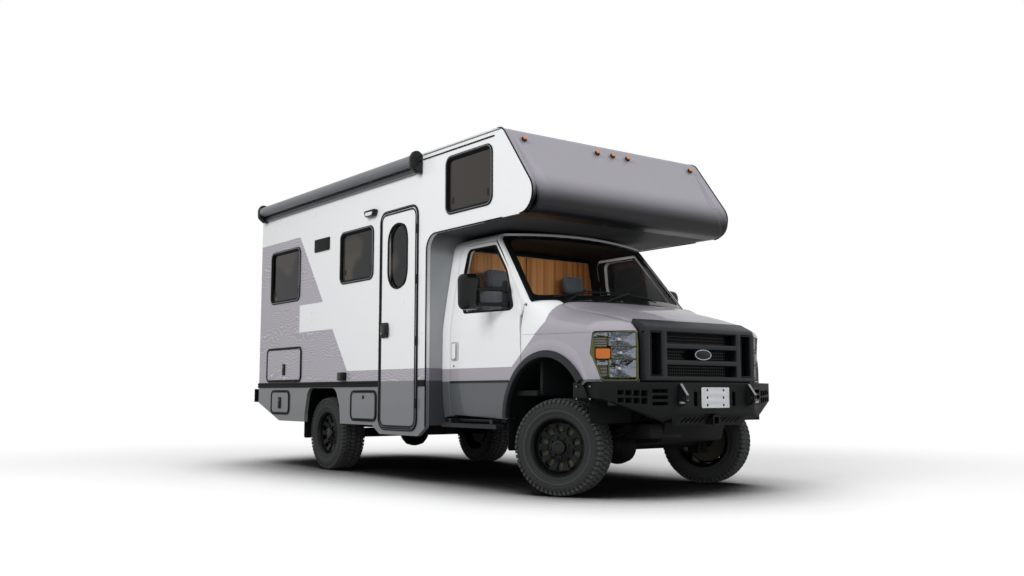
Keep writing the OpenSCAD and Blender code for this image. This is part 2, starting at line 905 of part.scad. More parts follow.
module left_knuckle() {
    color("#2c2e30") knuckle(1);
}

module front_right_rim() {
    color("#1a1b1c") at_front(-1) rim_body();
}

module front_right_tyre() {
    color("#2a2b2c") at_front(-1) tyre_body();
}

module front_left_rim() {
    color("#1a1b1c") at_front(1) rim_body();
}

module front_left_tyre() {
    color("#2a2b2c") at_front(1) tyre_body();
}

module rear_right_rim() {
    color("#1a1b1c") at_rear(-1) rim_body();
}

module rear_right_tyre() {
    color("#2a2b2c") at_rear(-1) tyre_body();
}

module rear_left_rim() {
    color("#1a1b1c") at_rear(1) rim_body();
}

module rear_left_tyre() {
    color("#2a2b2c") at_rear(1) tyre_body();
}

chassis_frame();
cross_members();
engine_block();
driveline();
fuel_tank();
exhaust();
front_axle();
rear_axle();
springs();
coach_right_wall();
coach_left_wall();
coach_roof();
coach_rear_wall();
coach_floor();
coach_front_wall();
front_cap();
coach_glass();
storage_boxes();
entry_step();
roof_units();
awning();
rear_bumper();
cab_shell();
fenders();
wheel_arch_trim();
grille();
headlights();
front_bumper();
windscreen();
running_boards();
cab_seats();
dashboard();
hood();
right_cab_door();
right_door_glass();
right_mirror();
left_cab_door();
left_door_glass();
left_mirror();
entry_door();
entry_door_glass();
upper_rear_hatch();
lower_rear_hatch();
middle_hatch();
right_knuckle();
left_knuckle();
front_right_rim();
front_right_tyre();
front_left_rim();
front_left_tyre();
rear_right_rim();
rear_right_tyre();
rear_left_rim();
rear_left_tyre();
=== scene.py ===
import math
import bmesh
import bpy
from mathutils import Matrix, Vector


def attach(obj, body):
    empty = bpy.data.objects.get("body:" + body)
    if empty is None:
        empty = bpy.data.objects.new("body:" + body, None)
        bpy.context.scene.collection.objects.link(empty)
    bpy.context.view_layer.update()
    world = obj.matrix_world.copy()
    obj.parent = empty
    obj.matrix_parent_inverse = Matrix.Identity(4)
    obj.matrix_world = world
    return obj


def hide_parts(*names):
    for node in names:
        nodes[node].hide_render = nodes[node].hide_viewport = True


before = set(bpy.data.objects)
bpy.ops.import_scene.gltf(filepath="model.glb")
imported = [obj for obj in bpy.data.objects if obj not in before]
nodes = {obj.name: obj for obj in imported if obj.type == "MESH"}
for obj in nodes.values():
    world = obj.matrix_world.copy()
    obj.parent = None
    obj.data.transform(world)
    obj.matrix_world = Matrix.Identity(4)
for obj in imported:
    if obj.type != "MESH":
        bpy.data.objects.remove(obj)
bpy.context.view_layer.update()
scene = bpy.context.scene
RIGHT, LEFT = -1, 1
SIDES = (("right", RIGHT), ("left", LEFT))

# ---------------------------------------------------------------- sizes, in metres
WALL = 1.18             # outer face of the coach's side walls, from the middle
REAR = -3.016           # rear face of the coach
FRONT_WALL = 0.725      # front face of the wall behind the cab
CAB = 1.0               # half width of the cab at its waist
STRIPE = (0.93, 1.044)  # painted stripe along the whole vehicle
ARCH = (2.263, 0.6)     # centre of the front wheel arch, side view
ARCH_R = 0.5
REST_STEER = 25         # steering angle in the rest pose, degrees


# ---------------------------------------------------------------- small tools
def linear(code):
    """Linear colour of an sRGB hex value."""
    parts = [int(code[i:i + 2], 16) / 255 for i in (1, 3, 5)]
    return tuple(c / 12.92 if c <= 0.04045 else ((c + 0.055) / 1.055) ** 2.4 for c in parts) + (1.0,)


def add(tree, kind, inputs=(), out=0, **settings):
    """Adds one node with its settings and its input values or links, and gives back one of its outputs."""
    node = tree.nodes.new(kind)
    for key, value in settings.items():
        setattr(node, key, value)
    for key, value in dict(inputs).items():
        if isinstance(value, bpy.types.NodeSocket):
            tree.links.new(value, node.inputs[key])
        else:
            node.inputs[key].default_value = value
    return node.outputs[out] if out is not None else node


def rounded(points, steps=6):
    """Outline of a polygon given as (x, y, corner radius)."""
    out = []
    for i, (x, y, r) in enumerate(points):
        if r <= 0:
            out.append((x, y))
            continue
        p = Vector((x, y))
        a = Vector(points[i - 1][:2]) - p
        b = Vector(points[(i + 1) % len(points)][:2]) - p
        half = a.angle(b) / 2
        cut = min(r / math.tan(half), 0.49 * a.length, 0.49 * b.length)
        r = cut * math.tan(half)
        centre = p + (a.normalized() + b.normalized()).normalized() * (r / math.sin(half))
        start = p + a.normalized() * cut - centre
        end = p + b.normalized() * cut - centre
        a0 = math.atan2(start.y, start.x)
        turn = (math.atan2(end.y, end.x) - a0 + math.pi) % (2 * math.pi) - math.pi
        for k in range(steps + 1):
            t = a0 + turn * k / steps
            out.append((centre.x + r * math.cos(t), centre.y + r * math.sin(t)))
    return out


def rect(x0, z0, x1, z1, r=0.0, grow=0.0, steps=6):
    """Rectangle with rounded corners, grown by grow on every side."""
    r = max(r + grow, 0.0)
    return rounded([
        (x0 - grow, z0 - grow, r), (x1 + grow, z0 - grow, r), (x1 + grow, z1 + grow, r), (x0 - grow, z1 + grow, r)],
        steps)


def circle(steps, width, height=None, middle=(0, 0)):
    """Points round a circle or an ellipse."""
    turns = [2 * math.pi * k / steps for k in range(steps)]
    height = width if height is None else height
    return [(middle[0] + width * math.cos(a), middle[1] + height * math.sin(a)) for a in turns]


def arc(centre, r, a0, a1, steps=14):
    """Points on an arc in side view, angles in degrees."""
    turns = [math.radians(a0 + (a1 - a0) * k / steps) for k in range(steps + 1)]
    return [(centre[0] + r * math.cos(a), centre[1] + r * math.sin(a)) for a in turns]


def eased(t):
    """Rises smoothly from 0 at t = 0 to 1 at t = 1, and is flat outside."""
    t = min(max(t, 0.0), 1.0)
    return t * t * (3 - 2 * t)


def to_mesh(bm, name="part", turned_out=False):
    """Mesh of a bmesh; turned_out makes its faces point outwards first."""
    if turned_out:
        bmesh.ops.recalc_face_normals(bm, faces=bm.faces)
    mesh = bpy.data.meshes.new(name)
    bm.to_mesh(mesh)
    bm.free()
    return mesh


def plain_mesh(obj):
    """Mesh that an object's modifiers make of it; the object goes."""
    mesh = bpy.data.meshes.new_from_object(obj.evaluated_get(bpy.context.evaluated_depsgraph_get()))
    bpy.data.objects.remove(obj)
    return mesh


def evaluated(data, modifiers=()):
    """Plain mesh of a curve or mesh after its modifiers."""
    obj = bpy.data.objects.new("work", data)
    scene.collection.objects.link(obj)
    for kind, settings in modifiers:
        mod = obj.modifiers.new(kind, kind)
        for key, value in settings.items():
            setattr(mod, key, value)
    bpy.context.view_layer.update()
    return plain_mesh(obj)


def area(loop):
    """Area inside an outline, positive where it runs anticlockwise."""
    return sum(a[0] * b[1] - b[0] * a[1] for a, b in zip(loop, loop[1:] + loop[:1])) / 2


def plate(loops, depth, edge=0.002, place=Matrix()):
    """Flat plate with holes and rounded edges: outlines in x, y, from z = -depth to z = 0, then placed."""
    curve = bpy.data.curves.new("outline", "CURVE")
    curve.dimensions = "2D"
    curve.fill_mode = "BOTH"
    edge = min(edge, depth * 0.45)
    curve.extrude = depth / 2 - edge
    curve.bevel_depth = edge
    curve.bevel_resolution = 1
    curve.offset = -edge
    for i, loop in enumerate(loops):
        if (area(loop) > 0) != (i == 0):
            loop = loop[::-1]
        spline = curve.splines.new("POLY")
        spline.points.add(len(loop) - 1)
        for point, (x, y) in zip(spline.points, loop):
            point.co = (x, y, 0, 1)
        spline.use_cyclic_u = True
    mesh = evaluated(curve)
    mesh.transform(Matrix.Translation((0, 0, -depth / 2)))
    bm = bmesh.new()
    bm.from_mesh(mesh)
    bmesh.ops.remove_doubles(bm, verts=bm.verts, dist=1e-5)
    mesh = to_mesh(bm)
    mesh.transform(place)
    return mesh


def card(x0, z0, x1, z1, r, depth, edge, place):
    """Rectangular plate with corner radius r."""
    return plate([rect(x0, z0, x1, z1, r)], depth, edge, place)


def on_side(side, y):
    """Places a plate on a vertical plane facing out to one side: plate x along the vehicle, plate y up."""
    return Matrix(((1, 0, 0, 0), (0, 0, side, side * y), (0, 1, 0, 0), (0, 0, 0, 1)))


def facing_front(x):
    """Places a plate on a plane facing forward: plate x to the left side, plate y up."""
    return Matrix(((0, 0, 1, x), (1, 0, 0, 0), (0, 1, 0, 0), (0, 0, 0, 1)))


def facing_rear(x):
    """Places a plate on a plane facing back: plate x to the right side, plate y up."""
    return Matrix(((0, 0, -1, x), (-1, 0, 0, 0), (0, 1, 0, 0), (0, 0, 0, 1)))


def flat_on(z):
    """Places a plate flat, its top at height z."""
    return Matrix.Translation((0, 0, z))


def frame_from(axis, origin=(0, 0, 0)):
    """Matrix whose z axis is the given direction."""
    return Matrix.Translation(origin) @ Vector(axis).to_track_quat("Z", "Y").to_matrix().to_4x4()


def tube(points, radius, closed=False, sides=3):
    """Round bar along points; radius may be one number or one for each point."""
    curve = bpy.data.curves.new("path", "CURVE")
    curve.dimensions = "3D"
    curve.bevel_depth = 1.0
    curve.bevel_resolution = sides
    curve.use_fill_caps = not closed
    spline = curve.splines.new("POLY")
    spline.points.add(len(points) - 1)
    for i, point in enumerate(points):
        spline.points[i].co = (*point, 1)
        spline.points[i].radius = radius[i] if isinstance(radius, (list, tuple)) else radius
    spline.use_cyclic_u = closed
    return evaluated(curve)


def smooth_path(points, steps=6):
    """Catmull-Rom curve through points."""
    pts = [Vector(points[0])] + [Vector(p) for p in points] + [Vector(points[-1])]
    out = []
    for a, b, c, d in zip(pts, pts[1:], pts[2:], pts[3:]):
        for k in range(steps):
            t = k / steps
            out.append(0.5 * (
                (2 * b) + (c - a) * t + (2 * a - 5 * b + 4 * c - d) * t * t + (3 * b - a - 3 * c + d) * t ** 3))
    return out + [pts[-1]]


def grid_solid(rings, closed_v=True, cap=True):
    """Surface through rings of points; closed_v joins each ring's ends, cap closes the first and last ring."""
    bm = bmesh.new()
    rows = [[bm.verts.new(p) for p in ring] for ring in rings]
    n = len(rows[0])
    for a, b in zip(rows, rows[1:]):
        for i in range(n if closed_v else n - 1):
            bm.faces.new((a[i], a[(i + 1) % n], b[(i + 1) % n], b[i]))
    if cap:
        bm.faces.new(rows[0][::-1])
        bm.faces.new(rows[-1])
    bmesh.ops.remove_doubles(bm, verts=bm.verts, dist=1e-5)
    return to_mesh(bm, turned_out=True)


def revolve(profile, place=Matrix(), steps=32):
    """Closed turned shape about z from (radius, height) pairs that start and end on the axis or close on themselves."""
    bm = bmesh.new()
    rows = []
    for r, h in profile:
        rows.append([bm.verts.new((x, y, h)) for x, y in (circle(steps, r) if r > 1e-6 else [(0, 0)])])
    pairs = list(zip(rows, rows[1:]))
    if len(rows[0]) > 1:
        pairs.append((rows[-1], rows[0]))
    for a, b in pairs:
        for k in range(steps):
            j = (k + 1) % steps
            if len(a) == 1 and len(b) > 1:
                bm.faces.new((a[0], b[k], b[j]))
            elif len(b) == 1 and len(a) > 1:
                bm.faces.new((a[j], a[k], b[0]))
            elif len(a) > 1:
                bm.faces.new((a[k], a[j], b[j], b[k]))
    mesh = to_mesh(bm, turned_out=True)
    mesh.transform(place)
    return mesh


def block(lo, hi, edge=0.004, steps=2):
    """Box with rounded edges between two corners."""
    bm = bmesh.new()
    bmesh.ops.create_cube(bm, size=1)
    lo, hi = Vector(lo), Vector(hi)
    bmesh.ops.scale(bm, vec=hi - lo, verts=bm.verts)
    bmesh.ops.translate(bm, vec=(lo + hi) / 2, verts=bm.verts)
    edge = min(edge, 0.45 * min(hi - lo))
    bmesh.ops.bevel(bm, geom=list(bm.edges), offset=edge, segments=steps, profile=0.5, affect="EDGES")
    return to_mesh(bm)


def side_block(side, x, y, z, edge=0.004):
    """Block on one side between the two ends of x, y and z; y counts outwards from the middle."""
    y = sorted((side * y[0], side * y[1]))
    return block((x[0], y[0], z[0]), (x[1], y[1], z[1]), edge)


def moved(mesh, place):
    """A copy of a mesh in another place."""
    mesh = mesh.copy()
    mesh.transform(place)
    return mesh


def mirrored(mesh):
    """The same part on the other side of the vehicle."""
    mesh = moved(mesh, Matrix.Scale(-1, 4, (0, 1, 0)))
    mesh.flip_normals()
    return mesh


def cut(mesh, cutter, operation="DIFFERENCE"):
    """mesh minus, or shared with, another closed mesh."""
    tool = bpy.data.objects.new("tool", cutter)
    scene.collection.objects.link(tool)
    out = evaluated(mesh, [("BOOLEAN", {"operation": operation, "solver": "EXACT", "object": tool})])
    bpy.data.objects.remove(tool)
    return out


def softened(mesh, width=0.004, steps=2, angle=30):
    """The same mesh with its sharp edges rounded."""
    return evaluated(mesh, [("BEVEL", {"width": width, "segments": steps, "limit_method": "ANGLE",
        "angle_limit": math.radians(angle), "use_clamp_overlap": True, "harden_normals": False,
        "miter_outer": "MITER_ARC"})])


def node_copy(name, width=0.003, steps=2, angle=30):
    """A clean copy of a CAD node's mesh with rounded edges."""
    bm = bmesh.new()
    bm.from_mesh(nodes[name].data)
    bmesh.ops.remove_doubles(bm, verts=bm.verts, dist=2e-5)
    bmesh.ops.dissolve_limit(bm, angle_limit=math.radians(1), verts=bm.verts, edges=bm.edges)
    mesh = to_mesh(bm)
    return softened(mesh, width, steps, angle) if width else mesh


def piece(name, parts, stands_for=(), body="vehicle", angle=40):
    """Joins (mesh, material) parts to one piece that rides on a body."""
    bm = bmesh.new()
    materials = []
    for mesh, material in parts:
        if material not in materials:
            materials.append(material)
        index = materials.index(material)
        first = len(bm.faces)
        bm.from_mesh(mesh)
        bm.faces.ensure_lookup_table()
        for face in bm.faces[first:]:
            face.material_index = index
            face.smooth = True
    mesh = to_mesh(bm, name, turned_out=True)
    for material in materials:
        mesh.materials.append(material)
    mesh.set_sharp_from_angle(angle=math.radians(angle))
    obj = bpy.data.objects.new(name, mesh)
    scene.collection.objects.link(obj)
    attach(obj, body)
    if stands_for:
        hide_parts(*stands_for)
    return obj


# ---------------------------------------------------------------- materials
def surface(name, base, rough, second=None, cloud_mm=300, spread=0.04, grain=None, metallic=0.0, ior=1.5, coat=0.0,
        sheen=0.0, alpha=1.0, stretch=(1, 1, 1)):
    """Solid material whose tone and gloss wander a little over the surface.

    base is a colour, or paints one from the tree and the coordinates; grain is the relief's size and depth in mm."""
    material = bpy.data.materials.new(name)
    material.use_nodes = True
    tree = material.node_tree
    tree.nodes.clear()
    where = add(tree, "ShaderNodeTexCoord", out="Object")
    if stretch != (1, 1, 1):
        where = add(tree, "ShaderNodeMapping", {"Vector": where, "Scale": stretch})
    cloud = add(tree, "ShaderNodeTexNoise", {"Vector": where, "Scale": 1000 / cloud_mm, "Detail": 3.0})
    gloss = add(tree, "ShaderNodeMapRange",
        {"Value": cloud, "From Min": 0.3, "From Max": 0.7, "To Min": rough - spread, "To Max": rough + spread})
    if callable(base):
        colour = base(tree, where)
    elif second:
        colour = add(tree, "ShaderNodeMix", {0: cloud, 6: linear(base), 7: linear(second)}, out=2, data_type="RGBA")
    else:
        colour = linear(base)
    shader = add(tree, "ShaderNodeBsdfPrincipled", {"Base Color": colour, "Roughness": gloss}, out=None)
    if not metallic:
        shader.inputs["IOR"].default_value = ior
    for socket, value in (("Metallic", metallic), ("Coat Weight", coat), ("Sheen Weight", sheen), ("Alpha", alpha)):
        shader.inputs[socket].default_value = value
    if grain:
        relief = add(tree, "ShaderNodeTexNoise", {"Vector": where, "Scale": 1000 / grain[0], "Detail": 2.0})
        bump = add(tree, "ShaderNodeBump", {"Height": relief, "Distance": grain[1] / 1000, "Strength": 1.0})
        tree.links.new(bump, shader.inputs["Normal"])
    add(tree, "ShaderNodeOutputMaterial", {"Surface": shader.outputs["BSDF"]}, out=None)
    return material


def region(tree, tests):
    """Mask that is 1 where every test (value, operation, edge) holds."""
    mask = 1.0
    for value, operation, edge in tests:
        test = add(tree, "ShaderNodeMath", {0: value, 1: edge}, operation=operation)
        mask = add(tree, "ShaderNodeMath", {0: mask, 1: test}, operation="MULTIPLY")
    return mask


def painted(tree, colour, layers):
    """Lays each colour of the (mask, colour) layers over the one below."""
    for mask, over in layers:
        colour = add(tree, "ShaderNodeMix", {0: mask, 6: colour, 7: over}, out=2, data_type="RGBA")
    return colour


WHITE, LAVENDER, CONTOUR, SKIRT, SKIRT_DARK = "#EEEFF0", "#A19DA6", "#C6C3CB", "#737679", "#54585B"


def contour_lines(tree, where):
    """Lavender film printed with lighter height lines, about 25 mm apart."""
    hills = add(tree, "ShaderNodeMapping", {"Vector": where, "Scale": (0.75, 1.0, 1.15)})
    sway = add(tree, "ShaderNodeTexNoise", {"Vector": hills, "Scale": 2.1, "Detail": 3.5, "Roughness": 0.48})
    z = add(tree, "ShaderNodeSeparateXYZ", {"Vector": where}, out="Z")
    level = add(tree, "ShaderNodeMath", {0: z, 1: 33.0}, operation="MULTIPLY")
    level = add(tree, "ShaderNodeMath", {0: sway, 1: 15.0, 2: level}, operation="MULTIPLY_ADD")
    level = add(tree, "ShaderNodeMath", {0: level}, operation="FRACT")
    line = add(tree, "ShaderNodeMath", {0: level, 1: 0.17}, operation="LESS_THAN")
    return add(tree, "ShaderNodeMix", {0: line, 6: linear(LAVENDER), 7: linear(CONTOUR)}, out=2, data_type="RGBA")


def coach_livery(tree, where):
    """White sides with a lavender panel behind one straight diagonal, a bare notch in it, a stripe and a grey skirt."""
    x, y, z = add(tree, "ShaderNodeSeparateXYZ", {"Vector": where}, out=None).outputs
    slant = add(tree, "ShaderNodeMath", {0: z, 1: 0.7568, 2: x}, operation="MULTIPLY_ADD")
    film = contour_lines(tree, where)
    panel = region(tree, [(slant, "LESS_THAN", 0.0), (z, "LESS_THAN", 2.59)])
    notch = region(tree, [(x, "GREATER_THAN", -1.938), (z, "GREATER_THAN", 1.498), (z, "LESS_THAN", 1.804)])
    inward = add(tree, "ShaderNodeMath", {0: y}, operation="ABSOLUTE")
    # the walls' front edges take the cap's lavender and the painted shade under its roll
    front_edge = region(tree, [(inward, "LESS_THAN", 1.177), (x, "GREATER_THAN", 1.6)])
    return painted(tree, linear(WHITE),
        ((panel, film), (notch, linear(WHITE)), (region(tree, [(z, "LESS_THAN", STRIPE[1])]), film),
            (region(tree, [(z, "LESS_THAN", STRIPE[0])]), linear(SKIRT)), (front_edge, cap_tone_with_painted_shade(tree, where))))


def cab_livery(tree, where):
    """White cab, lavender ahead of a diagonal through the front wing, lavender stripe and dark sills."""
    x, y, z = add(tree, "ShaderNodeSeparateXYZ", {"Vector": where}, out=None).outputs
    low = add(tree, "ShaderNodeMath", {0: z, 1: 1.392}, operation="MINIMUM")
    slant = add(tree, "ShaderNodeMath", {0: low, 1: -1.205, 2: x}, operation="MULTIPLY_ADD")
    return painted(tree, linear(WHITE),
        ((region(tree, [(slant, "GREATER_THAN", 0.545)]), linear(LAVENDER)),
            (region(tree, [(z, "LESS_THAN", 1.036)]), linear(LAVENDER)),
            (region(tree, [(z, "LESS_THAN", 0.92)]), linear(SKIRT_DARK))))


def front_wall_painted_shade(tree, where):
    """Grey wall behind the cab, painted shade all over: it fades to near black at the top under the bunk, and darkens
    in steps to shaded copies of the stripe and the skirt.
    """
    z = add(tree, "ShaderNodeSeparateXYZ", {"Vector": where}, out="Z")
    fade = add(tree, "ShaderNodeMapRange", {"Value": z, "From Min": 2.1, "From Max": 2.32})
    colour = add(tree, "ShaderNodeMix", {0: fade, 6: linear("#A4A8AA"), 7: linear("#202426")}, out=2,
        data_type="RGBA")
    return painted(tree, colour,
        ((region(tree, [(z, "LESS_THAN", STRIPE[1])]), linear("#77747E")),
            (region(tree, [(z, "LESS_THAN", STRIPE[0])]), linear("#45494D"))))


def cap_tone_with_painted_shade(tree, where):
    """Lavender cap whose lower roll fades to black: painted shade under the roll."""
    z = add(tree, "ShaderNodeSeparateXYZ", {"Vector": where}, out="Z")
    fade = add(tree, "ShaderNodeMapRange", {"Value": z, "From Min": 2.36, "From Max": 2.64},
        interpolation_type="SMOOTHSTEP")
    return add(tree, "ShaderNodeMix", {0: fade, 6: linear("#0D0F11"), 7: linear("#9D9AA3")}, out=2,
        data_type="RGBA")


def plank_grain(tree, where):
    """Orange-brown veneer with long dark vertical fibres, 3 to 20 mm wide."""
    along = add(tree, "ShaderNodeMapping", {"Vector": where, "Scale": (1.0, 1.0, 0.035)})
    broad = add(tree, "ShaderNodeTexNoise", {"Vector": along, "Scale": 26.0, "Detail": 5.0, "Roughness": 0.6})
    ramp = add(tree, "ShaderNodeMapRange", {"Value": broad, "From Min": 0.32, "From Max": 0.68})
    return add(tree, "ShaderNodeMix", {0: ramp, 6: linear("#9A5320"), 7: linear("#E2A262")}, out=2,
        data_type="RGBA")


def window_depth(tree, where):
    """Dark tinted pane behind which a brown blind hangs half way down."""
    folds = add(tree, "ShaderNodeTexNoise", {"Vector": where, "Scale": 1.6, "Detail": 1.0})
    x, y, z = add(tree, "ShaderNodeSeparateXYZ", {"Vector": where}, out=None).outputs
    hung = add(tree, "ShaderNodeMapRange", {"Value": z, "From Min": 2.24, "From Max": 2.28, "To Max": 0.35})
    fade = add(tree, "ShaderNodeMapRange", {"Value": folds, "From Min": 0.48, "From Max": 0.56})
    fade = add(tree, "ShaderNodeMath", {0: fade, 1: hung}, operation="SUBTRACT", use_clamp=True)
    tint = add(tree, "ShaderNodeMix", {0: fade, 6: linear("#0C0D0D"), 7: linear("#3D372F")}, out=2,
        data_type="RGBA")
    bunk = region(tree, [(x, "GREATER_THAN", 0.75)])
    return add(tree, "ShaderNodeMix", {0: bunk, 6: tint, 7: linear("#34302C")}, out=2, data_type="RGBA")


# Polyester gelcoat over sandwich panels, rolled and polished: even white with a soft gloss.
gelcoat = surface("polyester_gelcoat_livery", coach_livery, 0.3, spread=0.03, grain=(40, 0.05), coat=0.3)
# The same gelcoat without print, for roof and trim.
roof_gelcoat = surface("polyester_gelcoat_white", "#E2E3E4", 0.38, "#DADBDC", grain=(25, 0.06))
# Two-coat car paint over pressed steel: clear glossy coat, very slight orange peel.
car_paint = surface("clear_coated_car_paint", cab_livery, 0.32, spread=0.02, grain=(4, 0.004), coat=0.7)
lavender_paint = surface("lavender_car_paint", LAVENDER, 0.34, "#9A969F", grain=(4, 0.004), coat=0.6)
# Moulded fibreglass nose cap in the same lavender; the black under its roll is painted shade.
cap_paint = surface("painted_fibreglass_cap", cap_tone_with_painted_shade, 0.4, grain=(60, 0.1), coat=0.15)
# Wall behind the cab: its grey, its dark top and its darker stripe and skirt are painted shade.
front_wall_shade_paint = surface("painted_front_wall", front_wall_painted_shade, 0.5, grain=(25, 0.05), ior=1.2)
# Powder-coated plate steel: matt black with a fine orange-peel grain.
powder_coat = surface("black_powder_coat", "#08090A", 0.52, "#0D0F10", grain=(2.2, 0.05), ior=1.33)
# Grained ABS mouldings: dark, broad soft highlight.
black_abs = surface("grained_black_abs", "#0E1112", 0.46, "#131617", grain=(1.8, 0.04), ior=1.35)
flare_abs = surface("moulded_grey_black_abs", "#1A1E20", 0.42, "#1F2326", grain=(1.8, 0.03), ior=1.42)
# Polished black ABS, as on mirror heads and cap ends: deep black with a sharp highlight.
gloss_abs = surface("polished_black_abs", "#080A0B", 0.2, "#0C0E0F", grain=(30, 0.02), ior=1.42)
# EPDM rubber extrusions: dull black.
rubber_seal = surface("epdm_rubber_seal", "#090B0B", 0.6, "#0D0F0F", grain=(3, 0.05), ior=1.3)
# Anodised aluminium extrusions, mid grey, brushed along their length.
anodised = surface("anodised_aluminium", "#7B8083", 0.38, "#6B7073", cloud_mm=30, metallic=0.75,
    stretch=(0.05, 1, 1), grain=(1.5, 0.01))
bead_metal = surface("anodised_window_bead", "#8E9396", 0.32, "#7F8487", metallic=0.8, grain=(2, 0.01))
# Vinyl fabric of the rolled awning under its aluminium cover: smooth dark grey.
awning_cover = surface("painted_awning_cover", "#6F7477", 0.34, "#676C6F", grain=(20, 0.03), coat=0.3)
# Tinted acrylic double panes of the coach.
acrylic = surface("tinted_acrylic_pane", window_depth, 0.06, spread=0.02, cloud_mm=900, ior=1.36)
# Clear laminated glass of the cab.
clear_glass = surface("laminated_cab_glass", "#0B0E0F", 0.03, "#0F1213", spread=0.01, cloud_mm=900, ior=1.42,
    alpha=0.14)
# Far cab door pane: dark grey, letting a tenth through, as painted shade for the dark seen through that window.
far_pane_painted_shade = surface("grey_privacy_glass", "#101214", 0.05, "#15181A", spread=0.01, cloud_mm=900, ior=1.42,
    alpha=0.9)
# Cast iron and dust behind the wheel: dull olive brown.
brake_iron = surface("dusty_cast_iron", "#4A4738", 0.6, "#353327", cloud_mm=35, grain=(3, 0.1))
# Black ceramic frit baked on the edges of the windscreen.
frit = surface("ceramic_frit", "#0B0D0E", 0.14, "#0F1112", coat=0.6)
# Vacuum-metallised reflector: mirror bright.
chrome = surface("metallised_reflector", "#CCD2DC", 0.07, "#9AA2B0", cloud_mm=12, spread=0.06, metallic=1.0)
# Clear polycarbonate lamp lens with a slight olive cast.
lens = surface("polycarbonate_lens", "#15170F", 0.05, "#1A1C13", spread=0.02, alpha=0.1)
olive_lens = surface("tinted_lamp_edge", "#69683A", 0.16, "#57562F", spread=0.04, coat=0.4)
amber_lens = surface("amber_polycarbonate", "#DB6A12", 0.14, "#F08A24", cloud_mm=14, coat=0.8)
red_lens = surface("red_polycarbonate", "#A3140F", 0.14, "#C01C14", cloud_mm=14, coat=0.8)
white_lens = surface("opal_polycarbonate", "#F1F1EE", 0.22, "#E6E6E2", coat=0.4)
# Zinc-plated fasteners and shackles: bright grey metal.
zinc = surface("zinc_plated_steel", "#B9BCBF", 0.3, "#9DA0A3", cloud_mm=8, metallic=1.0)
# Door handle recess and its rim in pale grey: painted shade of the hollow.
handle_recess_shade = surface("painted_handle_recess", "#B9BCBE", 0.36, grain=(4, 0.004), coat=0.4)
# Blank aluminium plate, painted pale grey.
blank_plate = surface("painted_blank_plate", "#D3D6D9", 0.42, "#CBCED1", grain=(8, 0.02))
# Tyre rubber: dull charcoal, dusty on the sidewall.
tyre_rubber = surface("vulcanised_tyre_rubber", "#2A2B2C", 0.86, "#373838", cloud_mm=60, grain=(2.5, 0.2), ior=1.4)
tread_rubber = surface("dusty_tread_rubber", "#323333", 0.92, "#4E4F4F", cloud_mm=25, grain=(2.0, 0.4), ior=1.4)
# Satin black painted aluminium wheel.
rim_paint = surface("satin_black_wheel_paint", "#090A0B", 0.36, "#0E1011", grain=(2, 0.02), ior=1.34)
# Cast iron and chassis paint under the floor.
chassis_paint = surface("black_chassis_paint", "#090A0B", 0.66, "#0E1011", cloud_mm=80, grain=(5, 0.15), ior=1.3)
cast_iron = surface("cast_iron_housing", "#131516", 0.7, "#0C0D0E", cloud_mm=50, grain=(2, 0.25), ior=1.3)
galvanised = surface("aluminised_exhaust_steel", "#5A5B5C", 0.45, "#454546", cloud_mm=60, metallic=0.9,
    grain=(3, 0.05))
poly_tank = surface("rotomoulded_polyethylene", "#0C0E0F", 0.58, "#131516", grain=(4, 0.15), ior=1.3)
# Veneered ply wall behind the seats.
veneer = surface("oiled_oak_veneer", plank_grain, 0.4, grain=(3, 0.05), stretch=(1, 1, 0.08))
# Woven seat cloth, yarns about 4 mm apart, drawn coarse enough to show.
seat_cloth = surface("woven_seat_cloth", "#5F6468", 0.86, "#4B4F53", cloud_mm=9, grain=(4, 0.6), sheen=0.3)
dash_plastic = surface("moulded_dash_polypropylene", "#15181A", 0.62, "#1C1F21", grain=(2, 0.12), ior=1.35)
# Felt lining inside the cab, near black: partly its own dark colour, partly painted shade of the cab's inside.
lining_painted_shade = surface("felt_headliner", "#120F0D", 0.9, "#191511", cloud_mm=15, grain=(2, 0.3))
ply_floor = surface("coated_floor_board", "#121415", 0.66, "#191B1C", grain=(12, 0.1), ior=1.35)
wheel_well = surface("moulded_wheel_liner", "#0A0C0D", 0.76, "#101213", grain=(6, 0.3), ior=1.3)


# ---------------------------------------------------------------- what repeats, as node trees
def open_group(title, host, sockets, result):
    """New tree with its host geometry, named inputs and result; gives back the tree and what it is given."""
    tree = bpy.data.node_groups.new(title, "GeometryNodeTree")
    face = tree.interface
    face.new_socket(host, in_out="INPUT", socket_type="NodeSocketGeometry")
    for label, kind in sockets:
        face.new_socket(label, in_out="INPUT", socket_type="NodeSocket" + kind)
    face.new_socket(result, in_out="OUTPUT", socket_type="NodeSocketGeometry")
    return tree, add(tree, "NodeGroupInput", out=None).outputs


def close_group(tree, given, result, points, instance, turn):
    """Sets an instance on each point, makes all real, gives them their finish and ends the tree."""
    spread = add(tree, "GeometryNodeInstanceOnPoints", {"Points": points, "Instance": instance, "Rotation": turn})
    real = add(tree, "GeometryNodeRealizeInstances", {"Geometry": spread})
    done = add(tree, "GeometryNodeSetMaterial", {"Geometry": real, "Material": given["Finish"]})
    add(tree, "NodeGroupOutput", {result: done}, out=None)
    return tree


def scatter_tree():
    """Heads on the host mesh's points: short cones turned along one direction."""
    tree, given = open_group("heads_on_points", "Points",
        (("Base radius", "Float"), ("Top radius", "Float"), ("Height", "Float"), ("Sides", "Int"),
            ("Turn", "Vector"), ("Finish", "Material")), "Heads")
    head = add(tree, "GeometryNodeMeshCone", {
        "Vertices": given["Sides"], "Radius Bottom": given["Base radius"], "Radius Top": given["Top radius"],
        "Depth": given["Height"]})
    return close_group(tree, given, "Heads", given["Points"], head, given["Turn"])


